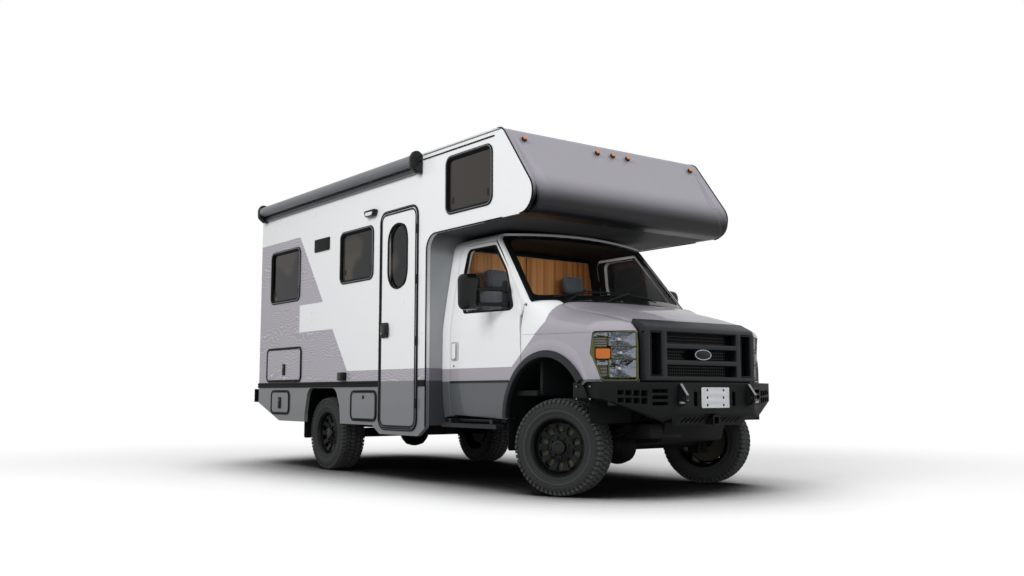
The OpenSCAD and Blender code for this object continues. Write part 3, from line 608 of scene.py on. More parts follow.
def bar_tree():
    """Bars of one size in an even row."""
    tree, given = open_group("bars_in_a_row", "Host",
        (("Count", "Int"), ("Start", "Vector"), ("Step", "Vector"), ("Size", "Vector"), ("Turn", "Vector"),
            ("Finish", "Material")), "Bars")
    line = add(tree, "GeometryNodeMeshLine",
        {"Count": given["Count"], "Start Location": given["Start"], "Offset": given["Step"]}, mode="OFFSET")
    bar = add(tree, "GeometryNodeMeshCube", {"Size": given["Size"]})
    return close_group(tree, given, "Bars", line, bar, given["Turn"])


def ring_tree():
    """The host mesh's block repeated round the z axis."""
    tree, given = open_group("blocks_round_a_ring", "Block",
        (("Count", "Int"), ("Phase", "Float"), ("Finish", "Material")), "Ring")
    spots = add(tree, "GeometryNodeMeshLine", {"Count": given["Count"], "Offset": (0, 0, 0)}, mode="OFFSET")
    index = add(tree, "GeometryNodeInputIndex")
    turn = add(tree, "ShaderNodeMath", {0: 2 * math.pi, 1: given["Count"]}, operation="DIVIDE")
    turn = add(tree, "ShaderNodeMath", {0: turn, 1: index, 2: given["Phase"]}, operation="MULTIPLY_ADD")
    about = add(tree, "ShaderNodeCombineXYZ", {"Z": turn})
    return close_group(tree, given, "Ring", spots, given["Block"], about)


HEADS, BARS, RING = scatter_tree(), bar_tree(), ring_tree()


def grown(tree, host, **inputs):
    """Mesh that a node tree makes from a host mesh, as a plain mesh."""
    obj = bpy.data.objects.new("host", host)
    scene.collection.objects.link(obj)
    mod = obj.modifiers.new("grow", "NODES")
    mod.node_group = tree
    for item in tree.interface.items_tree:
        key = item.name.replace(" ", "_").lower()
        if item.in_out == "INPUT" and key in inputs:
            mod[item.identifier] = inputs[key]
    obj.update_tag()
    bpy.context.view_layer.update()
    return plain_mesh(obj)


def heads(points, turn, base=0.006, top=0.005, height=0.005, sides=12, finish=zinc):
    """Screw or bolt heads at points."""
    host = bpy.data.meshes.new("points")
    host.from_pydata([tuple(p) for p in points], [], [])
    return grown(HEADS, host, base_radius=base, top_radius=top, height=height, sides=sides, turn=turn,
        finish=finish)


def bars(count, start, step, size, turn=(0, 0, 0), finish=powder_coat):
    """Row of equal bars; start is the middle of the first one."""
    return grown(BARS, bpy.data.meshes.new("none"), count=count, start=start, step=step, size=size, turn=turn,
        finish=finish)


# ---------------------------------------------------------------- stage: camera, lights, floor
scene.view_settings.view_transform = "Standard"
camera = bpy.data.objects.new("camera", bpy.data.cameras.new("camera"))
camera.location = (8.601, -6.182, 0.81)
camera.rotation_euler = (math.radians(90 + 5.975), 0, math.radians(52.7))
camera.data.lens = 35.49
camera.data.sensor_width = 36
scene.collection.objects.link(camera)
scene.camera = camera


def softbox(name, place, aim, size, power):
    """Large area lamp that points at a spot."""
    lamp = bpy.data.lights.new(name, "AREA")
    lamp.shape = "RECTANGLE"
    lamp.size, lamp.size_y = size
    lamp.energy = power
    obj = bpy.data.objects.new(name, lamp)
    obj.matrix_world = frame_from(Vector(place) - Vector(aim), place)
    obj.visible_glossy = False
    scene.collection.objects.link(obj)


softbox("key_softbox", (3.0, -11.0, 7.5), (0, 0, 1.4), (7, 5), 900)
softbox("front_softbox", (11.0, 2.0, 6.5), (1, 0, 1.2), (6, 4), 420)
softbox("rear_softbox", (-9.0, 7.0, 7.0), (-1, 0, 1.5), (6, 5), 260)


def seen_directly(tree):
    """1 for what the eye sees straight or through a pane, less for a mirror, 0 for light on the object."""
    rays = add(tree, "ShaderNodeLightPath", out=None)
    mirror = add(tree, "ShaderNodeMath", {0: rays.outputs["Is Glossy Ray"], 1: 0.35}, operation="MULTIPLY")
    mask = rays.outputs["Is Camera Ray"]
    for other in (mirror, rays.outputs["Is Transmission Ray"]):
        mask = add(tree, "ShaderNodeMath", {0: mask, 1: other}, operation="MAXIMUM")
    return mask


world = bpy.data.worlds.new("studio")
world.use_nodes = True
scene.world = world
tree = world.node_tree
tree.nodes.clear()
dome = add(tree, "ShaderNodeBackground", {"Color": (1, 1, 1, 1), "Strength": 0.5})
back = add(tree, "ShaderNodeBackground", {"Color": (1, 1, 1, 1), "Strength": 1.0})
mixed = add(tree, "ShaderNodeMixShader", {0: seen_directly(tree), 1: dome, 2: back})
add(tree, "ShaderNodeOutputWorld", {"Surface": mixed}, out=None)

floor_material = bpy.data.materials.new("matt_studio_floor")
floor_material.use_nodes = True
tree = floor_material.node_tree
tree.nodes.clear()
dull = add(tree, "ShaderNodeBsdfDiffuse", {"Color": linear("#9A9A9A")})
# open sky above a point of the floor, 0 to 1, deepens the shadow under the vehicle
sky = add(tree, "ShaderNodeAmbientOcclusion", {"Distance": 1.5}, out="AO", samples=12)
sky = add(tree, "ShaderNodeMapRange",
    {"Value": sky, "From Min": 0.46, "From Max": 0.96, "To Min": 0.012, "To Max": 1.0})
tone = add(tree, "ShaderNodeCombineColor", {0: sky, 1: sky, 2: sky})
pale = add(tree, "ShaderNodeBsdfDiffuse", {"Color": tone})
lit = add(tree, "ShaderNodeEmission", {"Color": tone, "Strength": 1.0})
where = add(tree, "ShaderNodeTexCoord", out="Object")
reach = add(tree, "ShaderNodeVectorMath", {0: where}, out="Value", operation="LENGTH")
fade = add(tree, "ShaderNodeMapRange",
    {"Value": reach, "From Min": 2.9, "From Max": 8.5, "To Min": 0.05, "To Max": 1.0},
    interpolation_type="SMOOTHSTEP")
pale = add(tree, "ShaderNodeMixShader", {0: fade, 1: pale, 2: lit})
mixed = add(tree, "ShaderNodeMixShader", {0: seen_directly(tree), 1: dull, 2: pale})
add(tree, "ShaderNodeOutputMaterial", {"Surface": mixed}, out=None)
bm = bmesh.new()
bmesh.ops.create_grid(bm, x_segments=4, y_segments=4, size=60)
floor_mesh = to_mesh(bm)
floor_mesh.materials.append(floor_material)
floor = bpy.data.objects.new("studio_floor", floor_mesh)
scene.collection.objects.link(floor)


# ---------------------------------------------------------------- CAD nodes that keep their shape
for material, names in (
        (gelcoat, "coach_right_wall coach_left_wall coach_rear_wall entry_door"),
        (gelcoat, "upper_rear_hatch lower_rear_hatch middle_hatch"), (roof_gelcoat, "coach_roof"),
        (ply_floor, "coach_floor"), (front_wall_shade_paint, "coach_front_wall"), (clear_glass, "windscreen"),
        (acrylic, "coach_glass entry_door_glass"), (galvanised, "exhaust"), (powder_coat, "entry_step"),
        (chassis_paint, "chassis_frame cross_members front_axle rear_axle springs"), (flare_abs, "running_boards"),
        (cast_iron, "engine_block driveline right_knuckle left_knuckle"), (poly_tank, "fuel_tank storage_boxes")):
    for name in names.split():
        nodes[name].data.materials.clear()
        nodes[name].data.materials.append(material)


# ---------------------------------------------------------------- coach: windows, doors, hatches, rails
def ring(outline, inner, outer, depth, y, side, edge=0.003):
    """Frame between two growths of a rounded rectangle, standing proud of a side wall."""
    return plate([rect(*outline, grow=outer), rect(*outline, grow=inner)], depth, edge, on_side(side, y))


for label, outline in (
        ("rear", (-2.703, 1.885, -1.957, 2.46, 0.055)), ("middle", (-0.953, 1.98, -0.285, 2.487, 0.055)),
        ("bunk", (1.068, 2.44, 1.743, 2.93, 0.06))):
    for side_name, side in SIDES:
        x0, z0, x1, z1, r = outline
        parts = [
            (ring(outline, -0.004, 0.026, 0.012, WALL + 0.01, side, 0.004), rubber_seal),
            (ring(outline, 0.008, 0.017, 0.007, WALL + 0.0145, side, 0.003), bead_metal),
            (ring(outline, -0.014, -0.002, 0.016, WALL + 0.002, side, 0.003), rubber_seal)]
        for x, z in ((x0 + 0.07, z0 + 0.1), (x1 - 0.07, z0 + 0.1)):
            parts.append((
                block((x - 0.012, side * (WALL - 0.03), z - 0.03), (x + 0.012, side * (WALL - 0.014), z + 0.03)),
                black_abs))
        piece(f"{label}_window_frame_{side_name}", parts)

# Window of the rear wall
parts = []
for inner, outer, depth, proud, finish in (
        (0.002, 0.04, 0.012, 0.012, rubber_seal), (0.014, 0.026, 0.007, 0.018, bead_metal),
        (-0.03, 0.002, 0.02, 0.004, rubber_seal)):
    parts.append((plate(
        [rect(-0.52, 1.64, 0.52, 2.24, 0.06, grow=outer), rect(-0.52, 1.64, 0.52, 2.24, 0.06, grow=inner)], depth,
        0.003, facing_rear(REAR - proud)), finish))
piece("back_window_frame", parts)

# Entry door: double frame on the wall, seal, window ring and lock on the leaf
DOOR = (-0.095, 0.49, 0.56, 2.575, 0.085)
piece("entry_door_frame", [
    (ring(DOOR, 0.006, 0.03, 0.014, WALL + 0.014, RIGHT, 0.005), rubber_seal),
    (ring(DOOR, 0.015, 0.02, 0.006, WALL + 0.0175, RIGHT, 0.002), anodised)])
LEAF = 1.188
piece("entry_door_trim", [
    (ring(DOOR, -0.02, -0.003, 0.007, LEAF + 0.005, RIGHT, 0.003), black_abs),
    (ring((0.047, 1.829, 0.395, 2.448, 0.165), -0.006, 0.014, 0.012, LEAF + 0.008, RIGHT, 0.004), rubber_seal)],
    body="entry_door")
piece("entry_door_lock", [
    (card(-0.074, 1.352, 0.066, 1.5, 0.03, 0.016, 0.005, on_side(RIGHT, LEAF + 0.016)), black_abs),
    (card(-0.056, 1.372, 0.04, 1.48, 0.02, 0.012, 0.004, on_side(RIGHT, LEAF + 0.026)), gloss_abs),
    (tube(smooth_path([
        (0.03, -LEAF - 0.014, 1.475), (0.065, -LEAF - 0.03, 1.47), (0.085, -LEAF - 0.034, 1.435),
        (0.085, -LEAF - 0.034, 1.395), (0.065, -LEAF - 0.03, 1.372), (0.03, -LEAF - 0.014, 1.38)]), 0.008),
        gloss_abs),
    (revolve(
        [(0, 0.0), (0.011, 0.0), (0.011, 0.006), (0.008, 0.009), (0, 0.009)],
        frame_from((0, -1, 0), (-0.03, -LEAF - 0.026, 1.395)), 20), zinc)], body="entry_door")
hinges = [block((0.5765, -1.206, z - 0.045), (0.592, -1.18, z + 0.045), 0.005) for z in (0.72, 1.3, 1.88, 2.36)]
piece("entry_door_hinges", [(hinge, black_abs) for hinge in hinges])

# Hatches: rounded frame on the wall, latch on the leaf
HATCHES = {"upper_rear_hatch": (-2.77, 0.961, -1.876, 1.319, 0.05),
    "lower_rear_hatch": (-2.626, 0.592, -2.168, 0.83, 0.05), "middle_hatch": (-0.673, 0.556, -0.182, 0.824, 0.05)}
LATCHES = {"upper_rear_hatch": (-2.3, 1.02, 0.13), "lower_rear_hatch": (-2.397, 0.64, 0.13)}
for name, outline in HATCHES.items():
    piece(name + "_frame", [(ring(outline, 0.0045, 0.021, 0.013, WALL + 0.013, RIGHT, 0.005), rubber_seal)])
    parts = [(ring(outline, -0.008, -0.001, 0.005, LEAF + 0.004, RIGHT, 0.002), black_abs)]
    if name in LATCHES:
        x, z, tall = LATCHES[name]
        parts += [(
            card(x - 0.032, z, x + 0.032, z + tall, 0.012, 0.014, 0.004, on_side(RIGHT, LEAF + 0.013)), black_abs),
            (card(x - 0.02, z + 0.018, x + 0.02, z + 0.066, 0.008, 0.01, 0.003, on_side(RIGHT, LEAF + 0.019)),
                gloss_abs),
            (revolve(
                [(0, 0.0), (0.009, 0.0), (0.009, 0.004), (0.007, 0.006), (0, 0.006)],
                frame_from((0, -1, 0), (x, -LEAF - 0.013, z + 0.095)), 16), zinc)]
    else:
        parts += [(revolve(
            [(0, 0.0), (0.018, 0.0), (0.018, 0.006), (0.012, 0.011), (0, 0.011)],
            frame_from((0, -1, 0), (-0.4275, -LEAF - 0.001, 0.775)), 24), black_abs),
            (revolve(
                [(0, 0.0), (0.008, 0.0), (0.007, 0.004), (0, 0.004)],
                frame_from((0, -1, 0), (-0.4275, -LEAF - 0.011, 0.775)), 16), zinc)]
    piece(name + "_trim", parts, body=name)


# Rub rail: C-shaped rubber extrusion round the coach
def rub_rail(x0, x1, side):
    profile = [
        (0, 0.878), (0.01, 0.878), (0.016, 0.884), (0.016, 0.897), (0.011, 0.902), (0.011, 0.912), (0.016, 0.917),
        (0.016, 0.929), (0.01, 0.936), (0, 0.936)]
    return grid_solid([[(x, side * (WALL + y), z) for y, z in profile] for x in (x0, x0 + 0.004, x1 - 0.004, x1)])


rails = [
    (rub_rail(REAR, -0.128, RIGHT), rubber_seal), (rub_rail(0.593, FRONT_WALL, RIGHT), rubber_seal),
    (rub_rail(REAR, FRONT_WALL, LEFT), rubber_seal),
    (block((REAR - 0.014, -WALL, 0.878), (REAR, WALL, 0.936), 0.005), rubber_seal)]
piece("rub_rail", rails)

# Edge trims: black seam between the sides and the nose cap, corner trims, drip rails
nose_edge = rounded([(1.6, 3.063, 0), (1.9, 3.063, 0.123), (2.4747, 2.282, 0.168), (1.6, 2.282, 0)], 14)[1:-1]
bunk_edge = [(1.9, 2.281), (1.6, 2.281), (1.0, 2.281), (0.875, 2.281)] + arc((0.875, 2.131), 0.15, 90, 180, 8)
bunk_edge += [(0.725, 1.2), (0.725, 0.505)]
seam = []
for side in (RIGHT, LEFT):
    for path in (nose_edge, bunk_edge):
        seam.append((tube([(x, side * (WALL + 0.002), z) for x, z in path], 0.0065), rubber_seal))
    # roof edge trim and drip rail
    start = 0.66 if side == RIGHT else REAR
    seam += [
        (side_block(side, (REAR, 1.88), (1.15, 1.187), (3.052, 3.07), 0.005), roof_gelcoat),
        (side_block(side, (start, 1.79), (1.178, 1.19), (3.0, 3.012), 0.004), rubber_seal),
        (side_block(side, (start, 1.88), (1.178, 1.189), (3.046, 3.051), 0.002), bead_metal)]
piece("coach_edge_trim", seam)

# Small fittings of the entry side: porch lamp, refrigerator vent, mains inlet
LAMP_X = -0.292
piece("porch_lamp", [(plate([rounded([
    (LAMP_X - 0.122, 2.66, 0.02), (LAMP_X - 0.08, 2.59, 0.03), (LAMP_X + 0.08, 2.59, 0.03),
    (LAMP_X + 0.122, 2.66, 0.02)])], 0.05, 0.01, on_side(RIGHT, WALL + 0.05)), gloss_abs),
    (plate([rounded([
        (LAMP_X - 0.08, 2.634, 0.01), (LAMP_X - 0.055, 2.6, 0.02), (LAMP_X + 0.055, 2.6, 0.02),
        (LAMP_X + 0.08, 2.634, 0.01)])], 0.01, 0.003, on_side(RIGHT, WALL + 0.056)), white_lens)])
piece("side_vent", [
    (card(-1.577, 2.365, -1.222, 2.507, 0.012, 0.012, 0.004, on_side(RIGHT, WALL + 0.012)), black_abs),
    (bars(9, (-1.4, -WALL - 0.013, 2.38), (0, 0, 0.014), (0.325, 0.006, 0.006), (0.5, 0, 0), black_abs),
        black_abs)])
piece("mains_inlet", [
    (card(-0.925, 0.945, -0.795, 1.03, 0.012, 0.045, 0.006, on_side(RIGHT, WALL + 0.045)), black_abs),
    (card(-0.915, 0.955, -0.812, 1.02, 0.01, 0.01, 0.003, on_side(RIGHT, WALL + 0.052)), gloss_abs)])
piece("left_side_fittings", [
    (card(-2.45, 1.02, -2.2, 1.22, 0.03, 0.014, 0.005, on_side(LEFT, WALL + 0.014)), black_abs),
    (card(-2.43, 1.04, -2.22, 1.2, 0.02, 0.008, 0.003, on_side(LEFT, WALL + 0.018)), gloss_abs),
    (card(-0.3, 1.3, 0.2, 1.75, 0.03, 0.016, 0.005, on_side(LEFT, WALL + 0.016)), roof_gelcoat),
    (bars(15, (-0.05, WALL + 0.018, 1.335), (0, 0, 0.027), (0.44, 0.008, 0.01), (-0.5, 0, 0), black_abs),
        black_abs), (card(-1.1, 0.6, -0.86, 0.8, 0.03, 0.012, 0.004, on_side(LEFT, WALL + 0.012)), black_abs)])

# Rear lamps, upper markers and plate holder on the rear wall
parts = []
for side in (RIGHT, LEFT):
    y0, y1 = sorted((side * 1.0, side * 1.1))
    parts.append((card(-y1, 0.98, -y0, 1.4, 0.02, 0.02, 0.006, facing_rear(REAR - 0.02)), black_abs))
    for z, finish in ((1.0, white_lens), (1.13, amber_lens), (1.26, red_lens)):
        parts.append((
            card(-y1 + 0.012, z, -y0 - 0.012, z + 0.115, 0.012, 0.016, 0.006, facing_rear(REAR - 0.03)), finish))
for y in (-0.95, -0.18, 0, 0.18, 0.95):
    parts.append((card(y - 0.05, 2.92, y + 0.05, 2.95, 0.012, 0.018, 0.006, facing_rear(REAR - 0.018)), red_lens))
parts += [
    (card(-0.19, 1.02, 0.19, 1.22, 0.02, 0.01, 0.004, facing_rear(REAR - 0.01)), black_abs),
    (card(-0.16, 1.04, 0.16, 1.2, 0.012, 0.004, 0.001, facing_rear(REAR - 0.013)), blank_plate)]
piece("rear_lamps", parts)
for side_name, side in SIDES:
    piece(f"rear_side_marker_{side_name}",
        [(card(-3.006, 2.93, -2.94, 2.955, 0.01, 0.01, 0.004, on_side(side, WALL + 0.01)), red_lens)])


# ---------------------------------------------------------------- formed sheet parts
def along(table, t):
    """Smooth value at t from (t, value) pairs in rising order."""
    if t <= table[0][0]:
        return table[0][1]
    for i in range(len(table) - 1):
        (t0, v0), (t1, v1) = table[i], table[i + 1]
        if t <= t1:
            before = table[i - 1] if i else table[i]
            after = table[i + 2] if i + 2 < len(table) else table[i + 1]
            m0 = (v1 - before[1]) / max(t1 - before[0], 1e-9) * (t1 - t0)
            m1 = (after[1] - v0) / max(after[0] - t0, 1e-9) * (t1 - t0)
            k = (t - t0) / (t1 - t0)
            return (
                (2 * k ** 3 - 3 * k * k + 1) * v0 + (k ** 3 - 2 * k * k + k) * m0 + (3 * k * k - 2 * k ** 3) * v1 + (
                    k ** 3 - k * k) * m1)
    return table[-1][1]


def formed(loops, thickness, mapping, edge=0.003, step=0.05):
    """Plate cut in a grid of small cells and bent: mapping(u, v, w) gives each point's place."""
    bm = bmesh.new()
    bm.from_mesh(plate(loops, thickness, edge))
    for axis in (0, 1):
        values = [v.co[axis] for v in bm.verts]
        first = math.ceil(min(values) / step)
        last = math.floor(max(values) / step)
        normal = Vector((1, 0, 0)) if axis == 0 else Vector((0, 1, 0))
        for k in range(first, last + 1):
            bmesh.ops.bisect_plane(bm, geom=list(bm.verts) + list(bm.edges) + list(bm.faces),
                plane_co=normal * (k * step), plane_no=normal, dist=1e-6)
    inner = []
    for edge_ in bm.edges:
        if len(edge_.link_faces) == 2 and all(abs(f.normal.z) > 0.999 for f in edge_.link_faces):
            a, b = (v.co for v in edge_.verts)
            on_line = any(abs(a[i] - b[i]) < 1e-5 and abs(a[i] / step - round(a[i] / step)) < 1e-4 for i in (0, 1))
            if not on_line:
                inner.append(edge_)
    bmesh.ops.dissolve_edges(bm, edges=inner, use_verts=False, use_face_split=False)
    for v in bm.verts:
        v.co = mapping(*v.co)
    return to_mesh(bm, turned_out=True)


# ---------------------------------------------------------------- nose cap over the cab
def cap_path(inset=0.0):
    """Side view of the cap from the roof over the slope and the lower roll to its rear edge."""
    pts = rounded([(1.78, 3.063, 0), (1.9, 3.063, 0.123), (2.4752, 2.2815, 0.168), (1.96, 2.2815, 0)], 12)
    fine = [Vector(pts[0])]
    for p in pts[1:]:
        gap = (Vector(p) - fine[-1]).length
        count = max(1, int(gap / 0.06))
        start = fine[-1].copy()
        fine += [start.lerp(Vector(p), (k + 1) / count) for k in range(count)]
    out = []
    for i, p in enumerate(fine):
        tangent = (fine[min(i + 1, len(fine) - 1)] - fine[max(i - 1, 0)]).normalized()
        normal = Vector((-tangent.y, tangent.x))
        out.append((p.x - normal.x * inset, p.y - normal.y * inset, normal))
    return out


FLUTE = [(2.3, 0.03), (2.38, 0.11), (2.5, 0.17), (2.6, 0.165), (2.8, 0.105), (2.96, 0.045), (3.02, 0.02)]
CAP_HALF = 1.1385
stations = [CAP_HALF - 0.0085 * k for k in range(26)] + [CAP_HALF - 0.23 - 0.1 * k for k in range(10)]
stations += [-y for y in stations[::-1]]
rings = []
for y in stations:
    from_edge = CAP_HALF - abs(y)
    outer = []
    for x, z, normal in cap_path():
        wide = along(FLUTE, z) if x > 1.93 else 0.02
        rise = eased((from_edge - 0.45 * wide) / (0.5 * wide))
        lip = min(from_edge / 0.034, 1)
        sink = 0.022 * min(wide / 0.12, 1.0) * (1 - rise) * lip * lip
        lamp_pocket = 0.0
        if 2.925 < z < 3.01 and x > 1.92:
            for centre, half in ((0.0, 0.27), (1.02, 0.05), (-1.02, 0.05)):
                inside = min(max((half - abs(y - centre)) / 0.03, 0), 1)
                lamp_pocket = max(lamp_pocket, 0.01 * inside * min(1, (3.01 - z) / 0.02))
        sink += lamp_pocket
        outer.append((x - normal.x * sink, y, z - normal.y * sink))
    inner = [(x, y, z) for x, z, _ in cap_path(0.032)][::-1]
    rings.append(outer + inner)
cap_parts = [(grid_solid(rings), cap_paint)]
for y in (-1.018, -0.186, 0, 0.186, 1.018):
    place = frame_from((0.805, 0, 0.593), (1.9985, y, 2.96))
    cap_parts += [
        (revolve([(0, -0.01), (0.026, -0.01), (0.026, 0.002), (0.02, 0.006), (0, 0.006)], place, 24), black_abs),
        (revolve([(0, 0.0), (0.018, 0.004), (0.0165, 0.012), (0.01, 0.018), (0, 0.02)], place, 20), amber_lens)]
piece("nose_cap", cap_parts, ["front_cap"], angle=24)

# ---------------------------------------------------------------- awning, roof units
AW0, AW1, AWY, AWZ, AWR = -2.907, 0.653, -1.246, 3.0, 0.056
tube_profile = [circle(48, AWR - (0.0022 if k % 8 == 0 else 0.0), middle=(AWY, AWZ))[k] for k in range(48)]
spool = grid_solid([[(x, y, z) for y, z in tube_profile] for x in (AW0 + 0.05, AW1 - 0.05)])
rail_profile = [
    (-1.181, 2.888), (-1.2, 2.888), (-1.215, 2.894), (-1.221, 2.906), (-1.221, 2.935), (-1.214, 2.947),
    (-1.181, 2.95)]
rail = grid_solid([[(x, y, z) for y, z in rail_profile] for x in (AW0 + 0.055, AW1 - 0.055)])
ribs = bars(4, (0.5 * (AW0 + AW1), -1.2215, 2.899), (0, 0, 0.0115), (AW1 - AW0 - 0.12, 0.004, 0.004),
    finish=black_abs)
parts = [(spool, awning_cover), (rail, anodised), (ribs, black_abs)]
for x0, x1, way in ((AW0, AW0 + 0.06, -1), (AW1 - 0.06, AW1, 1)):
    shape = rounded([
        (-1.181, 2.872, 0.01), (-1.24, 2.872, 0.03), (-1.305, 2.925, 0.05), (-1.308, 3.025, 0.05),
        (-1.275, 3.086, 0.05), (-1.215, 3.088, 0.045), (-1.181, 3.05, 0.01)])
    at_end = frame_from((way, 0, 0), (x1 if way > 0 else x0, AWY, AWZ))
    parts += [
        (plate([shape], x1 - x0, 0.014, facing_front(x1)), gloss_abs),
        (revolve([(0, 0), (0.02, 0), (0.02, 0.004), (0.012, 0.006), (0, 0.006)], at_end, 20), black_abs)]
piece("roof_awning", parts, ["awning"])

units = [
    (node_copy("roof_units", 0.018, 3), roof_gelcoat),
    (bars(14, (-0.585, -0.2, 3.14), (0, 0.031, 0), (0.05, 0.008, 0.09), finish=black_abs), black_abs),
    (bars(14, (-1.47, -0.2, 3.16), (0, 0.031, 0), (0.05, 0.008, 0.09), finish=black_abs), black_abs)]
for x0, x1 in ((-2.5, -2.08), (0.3, 0.72)):
    # lidded roof vent: screwed flange, rubber gasket, ribbed dome lid
    units += [
        (card(x0 - 0.03, -0.24, x1 + 0.03, 0.24, 0.03, 0.005, 0.002, flat_on(3.0672)), roof_gelcoat),
        (heads(
            [(x, y, 3.067) for x in (x0 - 0.015, 0.5 * (x0 + x1), x1 + 0.015) for y in (-0.225, 0.225)], (0, 0, 0),
            0.007, 0.005, 0.003), zinc),
        (card(x0 - 0.006, -0.216, x1 + 0.006, 0.216, 0.03, 0.01, 0.002, flat_on(3.112)), rubber_seal)]
    dome = formed(
        [rect(x0 - 0.016, -0.226, x1 + 0.016, 0.226, 0.045)], 0.018, lambda u, v, w, m=0.5 * (x0 + x1): (
            u, v, 3.132 + w + 0.016 * (1 - ((u - m) / 0.226) ** 2) * (1 - (v / 0.226) ** 2) + 0.004
            * max(0.0, math.cos(math.pi * v / 0.052)) * (1 if abs(v) < 0.182 and abs(u - m) < 0.185 else 0)),
        0.005, 0.013)
    units.append((dome, roof_gelcoat))
piece("roof_air_unit", units, ["roof_units"])

# ---------------------------------------------------------------- cab body
SIDE = [
    (0.56, 0.962), (0.59, 0.967), (0.7, 0.984), (0.85, 0.997), (1.0, 1.0), (1.3, 1.0), (1.4, 0.997), (1.47, 0.989),
    (1.54, 0.978), (1.7, 0.953), (1.9, 0.919), (2.1, 0.884), (2.17, 0.87), (2.205, 0.855), (2.24, 0.815)]
TILT, BASE, BEND = math.radians(41.9), (2.151, 1.6), 3.0


def cab_skin(side, proud=0.0):
    """Bends a side panel to the cab's section: upright to the waist, then leaning in."""
    def mapping(x, z, w):
        lean = 0.0055 * math.exp(-((z - 1.31) / 0.009) ** 2)
        return (x, side * (along(SIDE, z) + proud - lean + w), z)
    return mapping


def on_screen(y, s, out=0.0):
    """Point on the curved windscreen: y across, s up its slope, out along its normal."""
    back = BEND - math.sqrt(BEND ** 2 - y * y)
    x, z = out - back, s
    return (BASE[0] + x * math.cos(TILT) - z * math.sin(TILT), y, BASE[1] + x * math.sin(TILT) + z * math.cos(TILT))


def screen_outline(grow=0.0, r=0.055):
    low, high = 0.917 + grow, 0.83 + grow
    across = [k / 5 for k in range(-4, 5)]
    return rounded(
        [(-low, 0.098 - grow, r)] + [(y * low, 0.098 * y * y - grow, 0) for y in across] + [
            (low, 0.098 - grow, r), (high, 0.915 + grow, r)] + [
                (y * high, 0.855 + 0.06 * y * y + grow, 0) for y in across[::-1]] + [(-high, 0.915 + grow, r)])


def door_outline(g=0.0):
    """Cab door in side view, grown by g."""
    reach = ARCH_R + 0.075 - g
    front = 1.918 + g
    a0 = math.degrees(math.acos((front - ARCH[0]) / reach))
    pts = rounded([
        (0.856 - g, 0.59 - g, 0.02), (0.856 - g, 2.11, 0.03), (0.901 - g * 0.5, 2.172 + g, 0.04),
        (1.42 + g, 2.172 + g, 0.05), (1.88 + g, 1.58, 0.04), (front, 1.48, 0.05)], 5)
    return pts + arc(ARCH, reach, a0, 178.5) + [(ARCH[0] - reach, 0.59 - g)]


def door_window(g=0.0):
    return rounded([
        (1.035 - g, 1.535 - g, 0.05), (0.95 - g, 1.9, 0.3), (0.975 - g, 2.135 + g, 0.06),
        (1.4 + g, 2.135 + g, 0.07), (1.64 + g, 1.87 + g, 0.4), (1.8 + g, 1.52 - g, 0.045)])


# shell: sides round the door, roof, screen surround, floor, firewall
shell = []
for side in (RIGHT, LEFT):
    outline = [
        (0.728, 0.59), (0.728, 2.238), (1.425, 2.238), (1.447, 2.205), (1.7, 1.895), (1.955, 1.58), (1.96, 1.568),
        (1.925, 1.556)]
    door = door_outline(0.005)
    # the opening runs out through the lower front corner, so the panel is one C-shaped strip
    strip = outline + [p for p in door[::-1] if not (p[0] > 1.9245 or (p[1] < 1.5 and p[0] > 1.6))]
    shell += [
        (formed([strip], 0.05, cab_skin(side), 0.004, 0.05), car_paint),
        (formed([[(x, min(z, 2.205)) for x, z in strip]], 0.004, cab_skin(side, -0.0515), 0.001, 0.06), lining_painted_shade)]
    sill = [(0.728, 0.56), (0.728, 0.5845), (1.668, 0.5845), (1.668, 0.56)]
    shell.append((formed([sill], 0.11, cab_skin(side), 0.006, 0.1), flare_abs))
roof = [(0.728, -0.822)]
for y in [-0.822 + 1.644 * k / 12 for k in range(13)]:
    roof.append((on_screen(y, 0.86 + 0.06 * (y / 0.83) ** 2)[0] + 0.012, y))
roof.append((0.728, 0.822))
shell.append((
    formed([roof], 0.022, lambda x, y, w: (x, y, 2.262 - 0.026 * (y / 0.822) ** 2 + w), 0.004, 0.08), car_paint))
surround = screen_outline(0.052, 0.07)
shell += [(
    formed([surround, screen_outline(0.006)], 0.02, lambda u, v, w: on_screen(u, v, 0.002 + w), 0.003, 0.06),
    car_paint),
    (formed(
        [screen_outline(0.05, 0.07), screen_outline(0.004)], 0.004, lambda u, v, w: on_screen(u, v, -0.03 + w),
        0.001, 0.06), lining_painted_shade), (block((0.728, -0.94, 0.79), (2.06, 0.94, 0.838), 0.01), ply_floor),
    (block((2.045, -0.9, 0.8), (2.085, 0.9, 1.5), 0.01), dash_plastic),
    (formed([roof], 0.012, lambda x, y, w: (x - 0.01, y * 0.97, 2.225 - 0.02 * (y / 0.822) ** 2 + w), 0.003, 0.1),
        lining_painted_shade)]
piece("cab_body", shell, ["cab_shell"], angle=38)

# windscreen with its printed border and rubber
gasket = formed(
    [screen_outline(0.02, 0.06), screen_outline(-0.006)], 0.01, lambda u, v, w: on_screen(u, v, 0.009 + w), 0.004,
    0.06)
inner = rounded([
    (-0.88, 0.165, 0.05), (-0.5, 0.098, 0), (0, 0.068, 0), (0.5, 0.098, 0), (0.88, 0.165, 0.05), (0.8, 0.87, 0.06),
    (0.4, 0.822, 0), (0, 0.806, 0), (-0.4, 0.822, 0), (-0.8, 0.87, 0.06)], 5)
border = formed([screen_outline(-0.004), inner], 0.0015, lambda u, v, w: on_screen(u, v, 0.007 + w), 0.0004, 0.06)
piece("windscreen_border", [(gasket, rubber_seal), (border, frit)])

